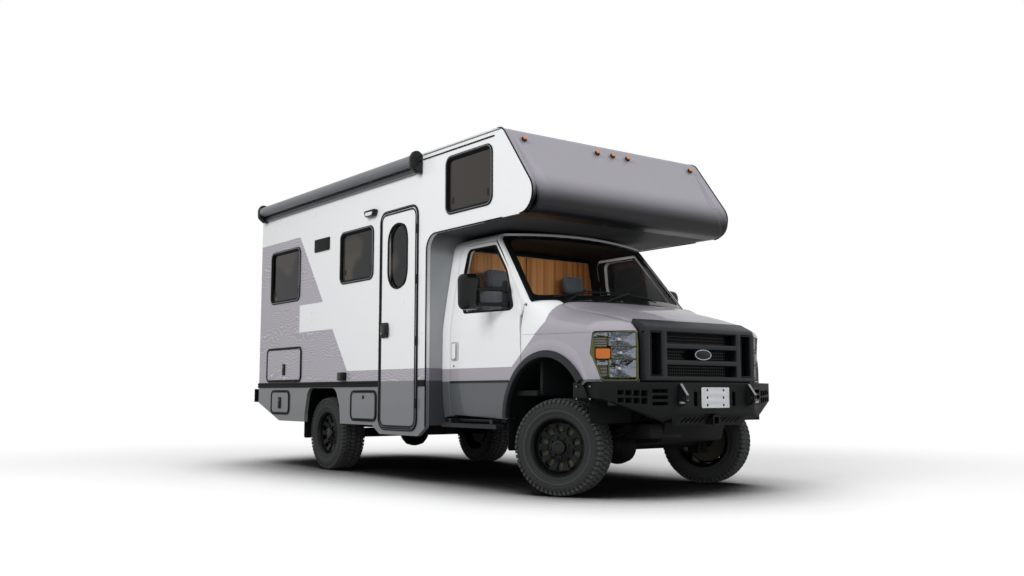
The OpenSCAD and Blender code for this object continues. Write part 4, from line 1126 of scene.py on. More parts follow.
# cowl with slats, wipers
cowl_loop = [(-0.8, 0.0), (0.8, 0.0), (0.8, 1.0), (-0.8, 1.0)]


def cowl(u, v, w):
    """Panel between the hood's rear edge and the foot of the windscreen; v runs from the hood to the glass."""
    foot = on_screen(u, 0.098 * (u / 0.917) ** 2 - 0.02)
    hood_z = 1.583 - 0.055 * (abs(u) / 0.8) ** 3
    x = 2.214 + (foot[0] - 2.214) * v
    z = hood_z + (foot[2] - 0.004 - hood_z) * v
    return (x, u, z + w - 0.012 * math.sin(math.pi * v))


cowl_parts = [(formed([cowl_loop], 0.012, cowl, 0.003, 0.1), black_abs)]
slats = bars(34, (2.175, -0.66, 1.578), (0, 0.04, 0), (0.055, 0.012, 0.006), (0, 0.06, 0), black_abs)
cowl_parts.append((slats, black_abs))
for foot_y, tip_y in ((-0.3, 0.36), (-0.79, -0.1)):
    start = Vector(on_screen(foot_y, -0.03, 0.03))
    knee = Vector(on_screen(foot_y + 0.1, 0.0, 0.04))
    grip = Vector(on_screen(0.5 * (foot_y + tip_y) + 0.04, 0.085 + 0.06 * abs(foot_y), 0.034))
    left = on_screen(foot_y + 0.05, 0.06 + 0.05 * abs(foot_y), 0.016)
    right = on_screen(tip_y + 0.1, 0.075 + 0.05 * abs(foot_y), 0.016)
    cowl_parts += [
        (tube(smooth_path([start, knee, grip], 5), 0.008), black_abs),
        (tube([left, grip - Vector((0, 0, 0.012)), right], 0.006), black_abs),
        (tube(
            smooth_path([left, on_screen(0.5 * (left[1] + right[1]), 0.072 + 0.05 * abs(foot_y), 0.01), right], 5),
            0.0045), rubber_seal),
        (revolve(
            [(0, -0.02), (0.022, -0.02), (0.022, 0.01), (0.014, 0.018), (0, 0.018)],
            frame_from((0.4, 0, 0.9), start), 20), black_abs)]
piece("cowl_and_wipers", cowl_parts, angle=35)

# doors
for side_name, side in SIDES:
    body = side_name + "_cab_door"
    skin = formed([door_outline(), door_window()], 0.055, cab_skin(side), 0.004, 0.05)
    handle_rim = plate(
        [rect(0.874, 1.106, 1.0, 1.28, 0.03), rect(0.874, 1.106, 1.0, 1.28, 0.03, grow=-0.007)], 0.007, 0.003,
        on_side(side, CAB + 0.004))
    handle_pan = plate([rect(0.874, 1.106, 1.0, 1.28, 0.03, grow=-0.007)], 0.004, 0.001, on_side(side, CAB + 0.001))
    grip = card(0.905, 1.122, 0.965, 1.265, 0.018, 0.014, 0.006, on_side(side, CAB + 0.02))
    lock = revolve(
        [(0, 0), (0.011, 0), (0.011, 0.003), (0, 0.004)], frame_from((0, side, 0), (0.925, side * CAB, 1.06)), 20)
    moulding = formed([rect(0.862, 0.905, 1.755, 0.925, 0.004)], 0.008, cab_skin(side, 0.007), 0.003, 0.1)
    piece(f"{side_name}_door_skin", [
        (skin, car_paint), (handle_rim, handle_recess_shade), (handle_pan, handle_recess_shade), (grip, car_paint), (lock, zinc),
        (moulding, flare_abs)], [f"{side_name}_cab_door"], body=body, angle=38)
    seal = formed([door_window(0.004), door_window(-0.014)], 0.014, cab_skin(side, 0.0015), 0.003, 0.06)
    post = formed([rounded([
        (1.02, 1.545, 0.01), (0.936, 1.9, 0.2), (0.958, 2.135, 0.03), (1.0, 2.135, 0.01), (0.99, 1.9, 0.2),
        (1.066, 1.545, 0.01)])], 0.004, cab_skin(side, -0.01), 0.001, 0.06)
    inner_frame = formed(
        [[(max(x, 0.866), min(z, 2.15)) for x, z in door_outline(-0.01)], door_window(0.004)], 0.004,
        cab_skin(side, -0.0565), 0.001, 0.06)
    trim_card = formed(
        [rounded([(0.9, 0.66, 0.03), (0.9, 1.5, 0.03), (1.84, 1.5, 0.03), (1.84, 1.1, 0.1), (1.64, 0.66, 0.03)])],
        0.012, cab_skin(side, -0.058), 0.003, 0.1)
    piece(f"{side_name}_door_seals",
        [(seal, rubber_seal), (post, rubber_seal), (trim_card, dash_plastic), (inner_frame, lining_painted_shade)], body=body)
    pane = formed([door_window(-0.004)], 0.006, cab_skin(side, -0.02), 0.001, 0.06)
    # the far door gets the near-opaque dark pane: painted shade for what shows through it
    piece(f"{side_name}_door_pane", [(pane, clear_glass if side == RIGHT else far_pane_painted_shade)],
        [f"{side_name}_door_glass"], body=body, angle=60)


# ---------------------------------------------------------------- nose: fenders and hood
NOSE_W = [
    (1.8, 1.0), (2.6, 1.0), (2.7, 0.9985), (2.76, 0.994), (2.8, 0.972), (2.84, 0.925), (2.88, 0.862), (2.92, 0.79),
    (2.96, 0.697), (2.985, 0.6), (2.995, 0.54)]
NOSE_T = [
    (1.9, 1.578), (2.0, 1.588), (2.151, 1.597), (2.3, 1.574), (2.493, 1.527), (2.65, 1.482), (2.793, 1.428),
    (2.88, 1.39), (2.935, 1.352), (2.97, 1.31), (2.99, 1.262)]
CREASE = [(1.9, 1.325), (2.3, 1.312), (2.8, 1.29), (2.9, 1.27), (2.96, 1.23), (2.995, 1.18)]
SECTION = [
    (1.0, 0.0), (0.997, 0.12), (0.985, 0.25), (0.962, 0.38), (0.925, 0.52), (0.87, 0.64), (0.8, 0.74),
    (0.71, 0.825), (0.6, 0.89), (0.48, 0.935), (0.34, 0.968), (0.18, 0.99), (0.0, 0.998)]
SQUARE = [
    (1.0, 0.0), (0.999, 0.12), (0.994, 0.26), (0.987, 0.4), (0.979, 0.55), (0.971, 0.7), (0.961, 0.83),
    (0.945, 0.935), (0.915, 0.985), (0.84, 1.0), (0.6, 1.005), (0.3, 1.008), (0.0, 1.01)]


def nose_ring(x, inset):
    """Half round the nose at one place along it: right sill, over the top, left sill."""
    wide, top, crease = along(NOSE_W, x) - inset, along(NOSE_T, x) - inset, along(CREASE, x)
    full = eased((2.4 - x) / 0.42)
    low = 0.59 if x < 2.6 else 0.9
    blend = [(u + (p - u) * full, v + (q - v) * full) for (u, v), (p, q) in zip(SECTION, SQUARE)]
    side = [(wide, low)] + [(wide, low + (crease - low) * k / 5) for k in range(1, 5)]
    side += [(wide * u, crease + (top - crease) * v) for u, v in blend]
    return [(x, -y, z) for y, z in side] + [(x, y, z) for y, z in side[::-1][1:]]


def nose_solid(inset, x0, x1):
    xs, x = [], x0
    while x < x1 - 1e-6:
        xs.append(x)
        if x < 2.6 <= x + 0.04:
            xs += [2.5995, 2.6005]
        x += 0.04 if x < 2.68 else 0.018
    xs.append(x1)
    return grid_solid([nose_ring(x, inset) for x in xs])


hood_edge = [(2.223, 0.79), (2.56, 0.77), (2.75, 0.705), (2.868, 0.64)]


def hood_prism(grow):
    pts = [(x + way * grow, y + grow) for (x, y), way in zip(hood_edge, (-1, 0, 0, 1))]
    loop = [(x, -y) for x, y in pts] + pts[::-1]
    return plate([rounded([(x, y, 0.02 + grow) for x, y in loop], 5)], 0.52, 0.0004, flat_on(1.7))


def hood_field(x, y, w):
    """Raised middle field of the hood, laid on the nose's section."""
    part = along([(0, 0.998), (0.18, 0.99), (0.34, 0.968), (0.48, 0.935)], abs(y) / along(NOSE_W, x))
    crease = along(CREASE, x)
    return (x, y, crease + (along(NOSE_T, x) - crease) * part + w + 0.0005)


skin = cut(nose_solid(0.0, 1.9235, 2.994), nose_solid(0.022, 1.9, 2.972))
hood_skin = softened(cut(skin, hood_prism(0.0), "INTERSECT"), 0.004, 2, 40)
field = rounded([(2.26, -0.4, 0.06), (2.84, -0.3, 0.06), (2.84, 0.3, 0.06), (2.26, 0.4, 0.06)])
raised = formed([field], 0.006, hood_field, 0.003, 0.06)
piece("hood_skin", [(hood_skin, lavender_paint), (raised, lavender_paint)], ["hood"], "hood", 28)

lamp_shape = [(0.655, 0.903), (0.655, 1.3), (0.978, 1.29), (0.99, 1.12), (0.93, 0.903)]
# cut on the right half only: hood opening, grille, cowl, left half, headlight, arch, bumper and screen corner
fender_skin = skin
for tool in (hood_prism(0.012), block((2.808, -0.655, 0.5), (3.1, 0.655, 1.6), 0.0001),
        block((1.8, -0.78, 0.5), (2.36, 0.78, 1.75), 0.0001), block((1.8, -0.02, 0.3), (3.2, 1.3, 1.9), 0.0001),
        plate([rounded([(-y, z, 0.02) for y, z in lamp_shape], 4)], 0.385, 0.0003, facing_front(3.15)),
        plate([circle(96, 0.518, middle=ARCH)], 0.6, 0.0003, on_side(RIGHT, 1.3)),
        block((2.6, -1.2, 0.3), (3.2, 0, 0.9015), 0.0001), block((1.8, -1.2, 1.6), (2.1, 0, 1.75), 0.0001)):
    fender_skin = cut(fender_skin, tool)
fender_skin = softened(fender_skin, 0.0035, 2, 40)
parts = [(fender_skin, car_paint), (mirrored(fender_skin), car_paint)]


def arch_shoulder(side):
    """Raised band pressed round the front wheel arch; it fades into the wing."""
    rings = []
    for k in range(47):
        a = math.radians(32 + 93 * k / 46)
        reach = 0.585 + 0.083 * min(max((math.degrees(a) - 32) / 23, 0), 1)
        if math.cos(a) < 0:
            reach = min(reach, (ARCH[0] - 1.938) / -math.cos(a))
        front, behind = [], []
        for j in range(11):
            r = 0.522 + (reach - 0.522) * j / 10
            fall = eased((j / 10 - 0.55) / 0.45)
            x, z = ARCH[0] + r * math.cos(a), ARCH[1] + r * math.sin(a)
            front.append((x, side * (along(NOSE_W, x) + 0.013 * (1 - fall) - 0.002), z))
            behind.append((x, side * (along(NOSE_W, x) - 0.012), z))
        rings.append(front + behind[::-1])
    return grid_solid(rings)


for side in (RIGHT, LEFT):
    parts.append((arch_shoulder(side), car_paint))
    # inner arch liner, open to the wheel
    liner = arc(ARCH, 0.516, -2, 178, 36)
    lip = ((0.999, 0), (0.56, 0), (0.56, 0.006), (0.999, 0.006))
    parts += [
        (grid_solid([[(x, side * y, z + up) for y, up in lip] for x, z in liner]), wheel_well),
        (plate([liner], 0.006, 0.001, on_side(side, 0.56)), wheel_well),
        (formed(
            [rect(1.935, 1.3, 2.775, 1.318, 0.005)], 0.006,
            lambda x, z, w, s=side: (x, s * (along(NOSE_W, x) + 0.0045 + w), z - 0.02 * (x - 1.935) / 0.84),
            0.0025, 0.1), car_paint)]
piece("fender_skins", parts, ["fenders"], angle=28)

# flares and mud flaps
flare = [
    (0.5, 1.0005), (0.5, 1.036), (0.505, 1.044), (0.515, 1.045), (0.548, 1.043), (0.556, 1.037), (0.56, 1.026),
    (0.556, 1.018), (0.532, 1.004), (0.528, 1.0005)]
parts = []
for side in (RIGHT, LEFT):
    rings = []
    for a in [math.radians(0.5 + 179.0 * k / 72) for k in range(73)]:
        if ARCH[0] + 0.53 * math.cos(a) < 2.7 or ARCH[1] + 0.5 * math.sin(a) > 0.9:
            rings.append([(ARCH[0] + r * math.cos(a), side * y, ARCH[1] + r * math.sin(a)) for r, y in flare])
    parts.append((grid_solid(rings), flare_abs))
    for x, y0, y1, z0, z1 in ((1.7245, 0.8, 0.985, 0.33, 0.588), (-1.851, 0.85, 1.135, 0.32, 0.86)):
        lo, hi = sorted((side * y0, side * y1))
        parts.append((card(lo, z0, hi, z1, 0.02, 0.01, 0.003, facing_front(x + 0.005)), rubber_seal))
piece("arch_flares", parts, ["wheel_arch_trim"], angle=35)

# ---------------------------------------------------------------- grille
frame_loops = [rounded([(-0.64, 0.906, 0.01), (0.64, 0.906, 0.01), (0.64, 1.306, 0.014), (-0.64, 1.306, 0.014)], 4)]
for z in (0.945, 1.075, 1.205):
    frame_loops.append(rect(-0.41, z, 0.41, z + 0.09, 0.008))
for y0, y1 in ((-0.592, -0.465), (0.465, 0.592)):
    frame_loops.append(rect(y0, 0.945, y1, 1.295, 0.008))
visor = [
    (2.88, 1.398), (2.908, 1.393), (3.014, 1.338), (3.029, 1.322), (3.033, 1.3), (3.02, 1.29), (2.9, 1.326),
    (2.88, 1.35)]
rings = []
for y, grow in ((-0.64, -0.012), (-0.634, -0.003), (-0.62, 0.0), (0.62, 0.0), (0.634, -0.003), (0.64, -0.012)):
    rings.append([(x + (grow if x > 2.95 else 0), y, z + (grow if z > 1.335 or x > 3.0 else 0)) for x, z in visor])
parts = [(plate(frame_loops, 0.06, 0.007, facing_front(3.033)), flare_abs), (grid_solid(rings), flare_abs)]
parts += [(side_block(side, (2.892, 2.985), (0.6, 0.638), (0.908, 1.345)), flare_abs) for side in (LEFT, RIGHT)]
for z in (1.055, 1.185):
    bar = [
        (3.018, z - 0.021), (3.0325, z - 0.012), (3.0325, z + 0.01), (3.018, z + 0.021), (2.975, z + 0.021),
        (2.975, z - 0.021)]
    parts.append((grid_solid([[(x, y, zz) for x, zz in bar] for y in (-0.412, 0.412)]), flare_abs))
for y0, y1 in ((-0.59, -0.467), (0.467, 0.59)):
    parts.append((plate(
        [rect(y0, 0.947, y1, 1.293, 0.006), rect(y0, 0.947, y1, 1.293, 0.006, grow=-0.009)], 0.012, 0.003,
        facing_front(3.0325)), black_abs))
parts += [
    (bars(47, (2.962, -0.598, 1.118), (0, 0.026, 0), (0.006, 0.0045, 0.36), finish=gloss_abs), gloss_abs),
    (bars(15, (2.96, 0, 0.948), (0, 0, 0.0243), (0.006, 1.2, 0.0045), finish=gloss_abs), gloss_abs),
    (card(-0.63, 0.912, 0.63, 1.325, 0.01, 0.01, 0.002, facing_front(2.915)), wheel_well)]
oval, oval_in = circle(48, 0.098, 0.044, (0, 1.121)), circle(48, 0.086, 0.034, (0, 1.121))
piece("grille_frame", parts, ["grille"], angle=35)
piece("grille_oval", [
    (plate([oval, oval_in], 0.012, 0.004, facing_front(3.0395)), chrome),
    (plate([[(y * 1.02, 1.121 + (z - 1.121) * 1.02) for y, z in oval_in]], 0.008, 0.002, facing_front(3.0355)),
        gloss_abs)])

# ---------------------------------------------------------------- headlights
FACE_X = [
    (0.5, 2.993), (0.56, 2.991), (0.65, 2.975), (0.7, 2.957), (0.8, 2.912), (0.9, 2.853), (0.96, 2.805),
    (0.99, 2.772), (1.01, 2.745)]


def lamp_skin(side, back):
    """Follows the swept-back face of the headlight; back is the distance behind the lens."""
    return lambda y, z, w: (
        along(FACE_X, abs(y)) - back + w - 0.012 * max(0.0, (z - 1.2) / 0.1),
        side * (abs(y) - 0.55 * back * max(0.0, (abs(y) - 0.8) / 0.2)), z)


def bowl(side, y0, y1, z0, z1, back, deep, facets):
    """Faceted reflector bowl in one cell of the lamp."""
    ny, nz = facets
    rings = []
    for i in range(nz + 1):
        front, rear = [], []
        for j in range(ny + 1):
            u, v = 2 * j / ny - 1, 2 * i / nz - 1
            y, z = y0 + (y1 - y0) * j / ny, z0 + (z1 - z0) * i / nz
            wave = 1 + 0.22 * ((i + j) % 2) + 0.16 * math.sin(7.0 * i + 3.0 * j)
            x = along(FACE_X, y) - back
            front.append((x - deep * (1 - u * u) * (1 - v * v) * wave, side * y, z))
            rear.append((x - deep * 1.15 - 0.004, side * y, z))
        rings.append(front + rear[::-1])
    return grid_solid(rings)


def lamp_loop(grow):
    return rounded([
        (0.659 - grow, 0.907 - grow, 0.02), (0.659 - grow, 1.296 + grow, 0.02), (0.974 + grow, 1.286 + grow, 0.03),
        (0.986 + grow, 1.12, 0.04), (0.927 + grow, 0.907 - grow, 0.03)], 5)


for side_name, side in SIDES:
    lens_shell = formed([lamp_loop(-0.004)], 0.004, lamp_skin(side, 0.002), 0.0012, 0.03)
    rim = formed([lamp_loop(-0.001), lamp_loop(-0.01)], 0.03, lamp_skin(side, 0.003), 0.002, 0.03)
    housing = formed([lamp_loop(-0.003)], 0.006, lamp_skin(side, 0.092), 0.001, 0.04)
    cells = [(housing, gloss_abs), (rim, olive_lens)]
    for y0, y1, z0, z1 in ((0.672, 0.868, 1.18, 1.28), (0.672, 0.85, 1.082, 1.168), (0.672, 0.868, 0.938, 1.068)):
        cells.append((bowl(side, y0, y1, z0, z1, 0.016, 0.06, (16, 12)), chrome))
        bezel = [rect(y0, z0, y1, z1, 0.006, grow=grow) for grow in (0.005, -0.001)]
        cells.append((formed(bezel, 0.01, lamp_skin(side, 0.012), 0.002, 0.04), olive_lens))
        middle = (along(FACE_X, 0.5 * (y0 + y1)) - 0.068, side * 0.5 * (y0 + y1), 0.5 * (z0 + z1))
        cells.append((revolve(
            [(0, 0), (0.015, 0), (0.015, 0.012), (0.01, 0.03), (0, 0.036)],
            frame_from((1, side * 0.35, 0), middle), 16), white_lens))
    for y1, z0, z1 in ((0.962, 1.25, 1.28), (0.945, 1.03, 1.062)):
        cells.append((bowl(side, 0.878, y1, z0, z1, 0.014, 0.012, (5, 3)), chrome))
    # outer fields: two olive walls, the amber marker and the olive edge
    for loop, steps, thick, back, rounding, finish in (
            ([(0.876, 0.935), (0.876, 1.07), (0.968, 1.07), (0.922, 0.935)], 3, 0.01, 0.028, 0.002, olive_lens),
            ([(0.876, 1.165), (0.876, 1.248), (0.968, 1.248), (0.968, 1.165)], 3, 0.01, 0.028, 0.002, olive_lens),
            ([(0.862, 1.078), (0.862, 1.156), (0.95, 1.156), (0.95, 1.078)], 4, 0.022, 0.01, 0.004, amber_lens)):
        field = rounded([(y, z, 0.01) for y, z in loop], steps)
        cells.append((formed([field], thick, lamp_skin(side, back), rounding, 0.03), finish))
    field = rounded(
        [(0.962, 1.04, 0), (0.962, 1.275, 0.01), (0.972, 1.275, 0.01), (0.983, 1.12, 0.02), (0.972, 1.04, 0)], 4)
    cells.append((formed([field], 0.02, lamp_skin(side, 0.008), 0.002, 0.03), olive_lens))
    # level ribs of the outer reflector
    for k in range(7):
        z = 1.176 + 0.018 * k if k < 4 else 0.95 + 0.024 * (k - 4)
        rib = rect(0.88, z, 0.96 if k < 4 else 0.925, z + 0.004, 0.001)
        cells.append((formed([rib], 0.006, lamp_skin(side, 0.018), 0.001, 0.05), chrome))
    piece(f"{side_name}_headlight_cells", cells, ["headlights"] if side == RIGHT else (), angle=20)
    piece(f"{side_name}_headlight_lens", [(lens_shell, lens)], angle=40)

# ---------------------------------------------------------------- front bumper
plate_body = node_copy("front_bumper", 0)
for side in (RIGHT, LEFT):
    for z in (0.732, 0.79):
        for k in range(4):
            y0 = 0.665 + 0.058 * k
            opening = side_block(side, (2.8, 3.2), (y0, y0 + 0.047), (z + 0.004 * k, z + 0.046))
            plate_body = cut(plate_body, opening)
bumper = [(softened(plate_body, 0.0035, 2, 28), powder_coat)]
for side in (RIGHT, LEFT):
    y = side * 0.4
    lip = [(3.2328, 0.758), (3.2328, 0.802), (3.167, 0.887), (3.16, 0.884), (3.229, 0.798), (3.229, 0.76)]
    bumper += [
        (grid_solid([[(x, y + dy, z) for x, z in lip] for dy in (-0.0125, 0.0125)]), zinc),
        (revolve(
            [(0, -0.03), (0.0115, -0.03), (0.0115, 0.03), (0, 0.03)],
            frame_from((0, 1, 0), (3.205, y + side * 0.03, 0.742)), 20), zinc),
        (side_block(side, (2.905, 2.912), (0.64, 0.93), (0.72, 0.85), 0.002), gloss_abs)]
    fog = frame_from((1, 0, 0), (2.925, side * 0.72, 0.785))
    bumper.append((
        revolve([(0, 0), (0.04, 0), (0.044, 0.016), (0.04, 0.02), (0.034, 0.012), (0, 0.004)], fog, 24), chrome))
for side in (RIGHT, LEFT):
    bolts = [(x, side * 0.987, z) for z in (0.865, 0.77) for x in (2.615, 2.77)]
    bumper.append((heads(bolts, (-side * math.pi / 2, 0, 0), 0.008, 0.006, 0.006), zinc))
# skid plate under the middle, with slanted slots
slots = []
ca, sa = math.cos(math.radians(-42)), math.sin(math.radians(-42))
for u in [s * (0.105 + 0.052 * k) for s in (RIGHT, LEFT) for k in range(5)]:
    slot = rect(-0.01, -0.034, 0.01, 0.034, 0.008, steps=4)
    slots.append([(u + x * ca - y * sa, -0.054 + x * sa + y * ca) for x, y in slot])
skid = [rounded([(-0.4, -0.112, 0.01), (0.4, -0.112, 0.01), (0.48, 0.002, 0.005), (-0.48, 0.002, 0.005)], 4)]
down_front = Matrix(((0, 0.51, 0.86, 3.13), (1, 0, 0, 0), (0, 0.86, -0.51, 0.652), (0, 0, 0, 1)))
bumper.append((plate(skid + slots, 0.006, 0.002, down_front), powder_coat))
holes = [circle(16, 0.011, middle=(y, z)) for y in (-0.095, 0.095) for z in (0.719, 0.778, 0.837)]
bumper += [
    (plate([rect(-0.162, 0.697, 0.162, 0.859, 0.008)] + holes, 0.006, 0.0015, facing_front(3.1605)), blank_plate),
    (block((3.15, -0.15, 0.705), (3.155, 0.15, 0.851), 0.001), wheel_well)]
ring_out, ring_in = rect(-0.04, 0.56, 0.04, 0.64, 0.01), rect(-0.0255, 0.5745, 0.0255, 0.6255, 0.004)
bumper.append((plate([ring_out, ring_in], 0.014, 0.004, facing_front(3.166)), powder_coat))
piece("bumper_plate", bumper, ["front_bumper"], angle=30)


# ---------------------------------------------------------------- wheels
TYRE_R, BEAD = 0.386, 0.216
casing = [
    (BEAD + 0.002, 0.108), (0.232, 0.1225), (0.252, 0.1305), (0.262, 0.129), (0.266, 0.133), (0.285, 0.1372),
    (0.3, 0.1385), (0.303, 0.137), (0.307, 0.1388), (0.325, 0.137), (0.34, 0.1318), (0.352, 0.1245),
    (0.364, 0.115), (0.371, 0.102), (0.3735, 0.08), (0.3745, 0.04), (0.375, 0.0)]
profile = casing + [(r, -h) for r, h in casing[-2::-1]] + [
    (BEAD + 0.002, -0.06), (BEAD + 0.014, 0.0), (BEAD + 0.002, 0.06)]
tyre_case = revolve(profile, steps=96)


def tread_block(corners):
    """Lug on the tread, drawn in towards its top; corners as (angle, across) pairs."""
    ca = sum(a for a, _ in corners) / len(corners)
    cw = sum(w for _, w in corners) / len(corners)
    top = TYRE_R - 0.0004
    rings = []
    for r, grow in ((0.37, 1.06), (top - 0.002, 1.0), (top, 0.9)):
        ring = []
        for a, w in corners:
            a, w = ca + (a - ca) * grow, cw + (w - cw) * grow
            reach = r - 0.012 * max(0.0, (abs(w) - 0.085) / 0.045) ** 2
            ring.append((reach * math.cos(a), reach * math.sin(a), w))
        rings.append(ring)
    return grid_solid(rings)


PITCH = 2 * math.pi / 58
tread = [(1, 0.15, ((-0.42, -0.03), (0.1, -0.034), (0.42, -0.008), (0.42, 0.032), (-0.1, 0.034), (-0.42, 0.008)))]
for sign in (1, -1):
    tread += [
        (sign, 0.0, ((-0.36, 0.088), (0.36, 0.084), (0.4, 0.132), (-0.28, 0.132))),
        (sign, 0.5, ((-0.4, 0.046), (0.2, 0.04), (0.42, 0.058), (0.34, 0.08), (-0.3, 0.076)))]
lugs = []
for sign, phase, corners in tread:
    lug = tread_block([(a * PITCH, sign * w) for a, w in corners])
    lugs.append(grown(RING, lug, count=58, phase=phase * PITCH, finish=tread_rubber))
for sign in (1, -1):
    for length, phase in ((0.03, 0.0), (0.02, PITCH)):
        bm = bmesh.new()
        bmesh.ops.create_cube(bm, size=1)
        bmesh.ops.scale(bm, vec=(length, 0.012, 0.01), verts=bm.verts)
        lug = to_mesh(bm)
        lug.transform(
            Matrix.Translation((0.366 - length / 2, 0, sign * 0.1275))
            @ Matrix.Rotation(sign * math.radians(28), 4, "Y"))
        lugs.append(grown(RING, lug, count=29, phase=phase, finish=tread_rubber))
bm = bmesh.new()
for lug in lugs:
    bm.from_mesh(lug)
tread_mesh = to_mesh(bm)

# rim: lipped barrel, ten-window disc, centre cap and nuts
barrel = [
    (0.2335, 0.1285), (0.235, 0.125), (0.233, 0.118), (0.216, 0.104), (0.216, -0.104), (0.233, -0.118),
    (0.235, -0.125), (0.2335, -0.1285), (0.226, -0.124), (0.208, -0.1), (0.205, 0.0), (0.2055, 0.093),
    (0.214, 0.112), (0.227, 0.127)]
barrel = revolve(barrel, steps=72)


def dish(r):
    """Height of the wheel disc's face at a radius."""
    return along([
        (0.0, 0.078), (0.06, 0.078), (0.085, 0.077), (0.1, 0.068), (0.112, 0.06), (0.15, 0.07), (0.18, 0.085),
        (0.196, 0.084), (0.2075, 0.075)], r)


windows = []
for k in range(10):
    a0 = 2 * math.pi * (k + 0.5) / 10
    shape = rounded([
        (0.112, -0.015, 0.008), (0.18, -0.031, 0.014), (0.186, 0.0, 0.03), (0.18, 0.031, 0.014),
        (0.112, 0.015, 0.008)], 4)
    windows.append([(x * math.cos(a0) - y * math.sin(a0), x * math.sin(a0) + y * math.cos(a0)) for x, y in shape])
disc = formed(
    [circle(120, 0.2075)] + windows, 0.014, lambda x, y, w: (x, y, dish(math.hypot(x, y)) + w), 0.003, 0.03)
cap = revolve([
    (0, 0.076), (0.06, 0.076), (0.062, 0.092), (0.056, 0.104), (0.04, 0.11), (0.034, 0.1115), (0.032, 0.109),
    (0, 0.109)], steps=48)
nut = revolve(
    [(0, 0.07), (0.0105, 0.07), (0.0105, 0.085), (0.0085, 0.093), (0.004, 0.0955), (0, 0.0958)],
    Matrix.Translation((0.079, 0, 0)), 6)
nuts = grown(RING, nut, count=8, phase=0.2, finish=gloss_abs)
beads = revolve(
    [(0.0025, -0.002), (0.0025, 0.004), (0, 0.005), (0, -0.002)][::-1], Matrix.Translation((0.192, 0, 0.085)), 8)
ring_bolts = grown(RING, beads, count=20, phase=0.05, finish=gloss_abs)
brake = revolve([(0.03, 0.0), (0.186, 0.0), (0.186, 0.04), (0.124, 0.04), (0.118, 0.03), (0.03, 0.03)], steps=48)
# thin raised ring of the paler tread rubber on the tyre's sidewall
pale_sidewall_ring = revolve([(0.2835, 0.136), (0.287, 0.1388), (0.2925, 0.1392), (0.296, 0.1374)], steps=96)
for end, axle_x, pivot_y, reach, steer in (("front", 2.293, 0.8, 0.095, REST_STEER), ("rear", -1.357, 0.98, 0, 0)):
    for side_name, side in SIDES:
        # wheel frame: z points outwards; the hub lies reach outside its pivot, turned by the steering angle
        place = (
            Matrix.Translation((axle_x, side * pivot_y, TYRE_R)) @ Matrix.Rotation(math.radians(steer), 4, "Z")
            @ Matrix.Translation((0, side * reach, 0)) @ Matrix.Rotation(math.radians(-90 * side), 4, "X"))
        wheel = f"{end}_{side_name}"
        tyre = ((tyre_case, tyre_rubber), (tread_mesh, tread_rubber), (pale_sidewall_ring, tread_rubber))
        piece(f"{wheel}_tyre_tread", [(moved(mesh, place), finish) for mesh, finish in tyre],
            [f"{wheel}_tyre"], f"{wheel}_wheel", 35)
        rim = (
            (barrel, rim_paint), (disc, rim_paint), (cap, gloss_abs), (nuts, gloss_abs), (ring_bolts, gloss_abs),
            (brake, brake_iron))
        piece(f"{wheel}_wheel_disc", [(moved(mesh, place), finish) for mesh, finish in rim],
            [f"{wheel}_rim"], f"{wheel}_wheel", 30)


# ---------------------------------------------------------------- mirrors
for side_name, side in SIDES:
    foot = plate(
        [rounded([(1.64, 1.53, 0.02), (1.8, 1.53, 0.03), (1.69, 1.79, 0.03), (1.64, 1.77, 0.02)], 5)], 0.024,
        0.007, on_side(side, 0.992))
    parts = []
    for z in (1.57, 1.7):
        root = Vector((1.725, side * 0.985, z))
        tip = Vector((1.54, side * 1.17, z + 0.005))
        parts.append((
            tube([root, root.lerp(tip, 0.1), root.lerp(tip, 0.3), tip], [0.034, 0.03, 0.0175, 0.0165], sides=5),
            black_abs))
    outline = [
        (side * 1.132, 1.53, 0.05), (side * 1.325, 1.524, 0.06), (side * 1.33, 1.835, 0.06),
        (side * 1.132, 1.846, 0.05)]
    rings = []
    for x, inset in (
            (1.45, 0.016), (1.453, 0.006), (1.46, 0.0), (1.5, 0.0), (1.522, 0.006), (1.538, 0.02), (1.5465, 0.045),
            (1.5475, 0.07)):
        loop = rounded([
            (y + inset * (-1 if abs(y) > 1.2 else 1) * side, z + inset * (1 if z < 1.7 else -1),
                max(r - 0.3 * inset, 0.01)) for y, z, r in outline], 6)
        rings.append([(x, y, z) for y, z in loop])
    parts.append((grid_solid(rings), gloss_abs))
    groove = [(side * (1.155 + 0.012 * math.sin(1.6 * t)), 1.56 + 0.25 * t) for t in [k / 12 for k in range(13)]]
    parts.append((tube([(1.546, y, z) for y, z in groove], 0.0035), black_abs))
    y0, y1 = sorted((side * 1.15, side * 1.31))
    for z0, z1 in ((1.64, 1.828), (1.54, 1.628)):
        parts.append((card(y0, z0, y1, z1, 0.03, 0.004, 0.001, facing_rear(1.448)), chrome))
    piece(f"{side_name}_mirror_head", parts, [f"{side_name}_mirror"], body=f"{side_name}_cab_door",
        angle=35)
    piece(f"{side_name}_mirror_foot", [(foot, black_abs)], body=f"{side_name}_cab_door", angle=35)

# ---------------------------------------------------------------- cab interior
def section(place, across, half_wide, half_thick, r, bulge=0.0):
    """Rounded cross-section of a cushion, across the seat and along a thickness direction."""
    pts = rounded([
        (-half_wide, -half_thick, r), (0, -half_thick - bulge, 0.1), (half_wide, -half_thick, r),
        (half_wide, half_thick, r), (0, half_thick + bulge, 0.1), (-half_wide, half_thick, r)], 4)
    return [Vector(place) + Vector((0, u, 0)) + Vector(across) * v for u, v in pts]


def united(bodies):
    """Several closed bodies in one mesh, each through its list of sections."""
    bm = bmesh.new()
    for sections in bodies:
        bm.from_mesh(grid_solid(sections))
    return to_mesh(bm)


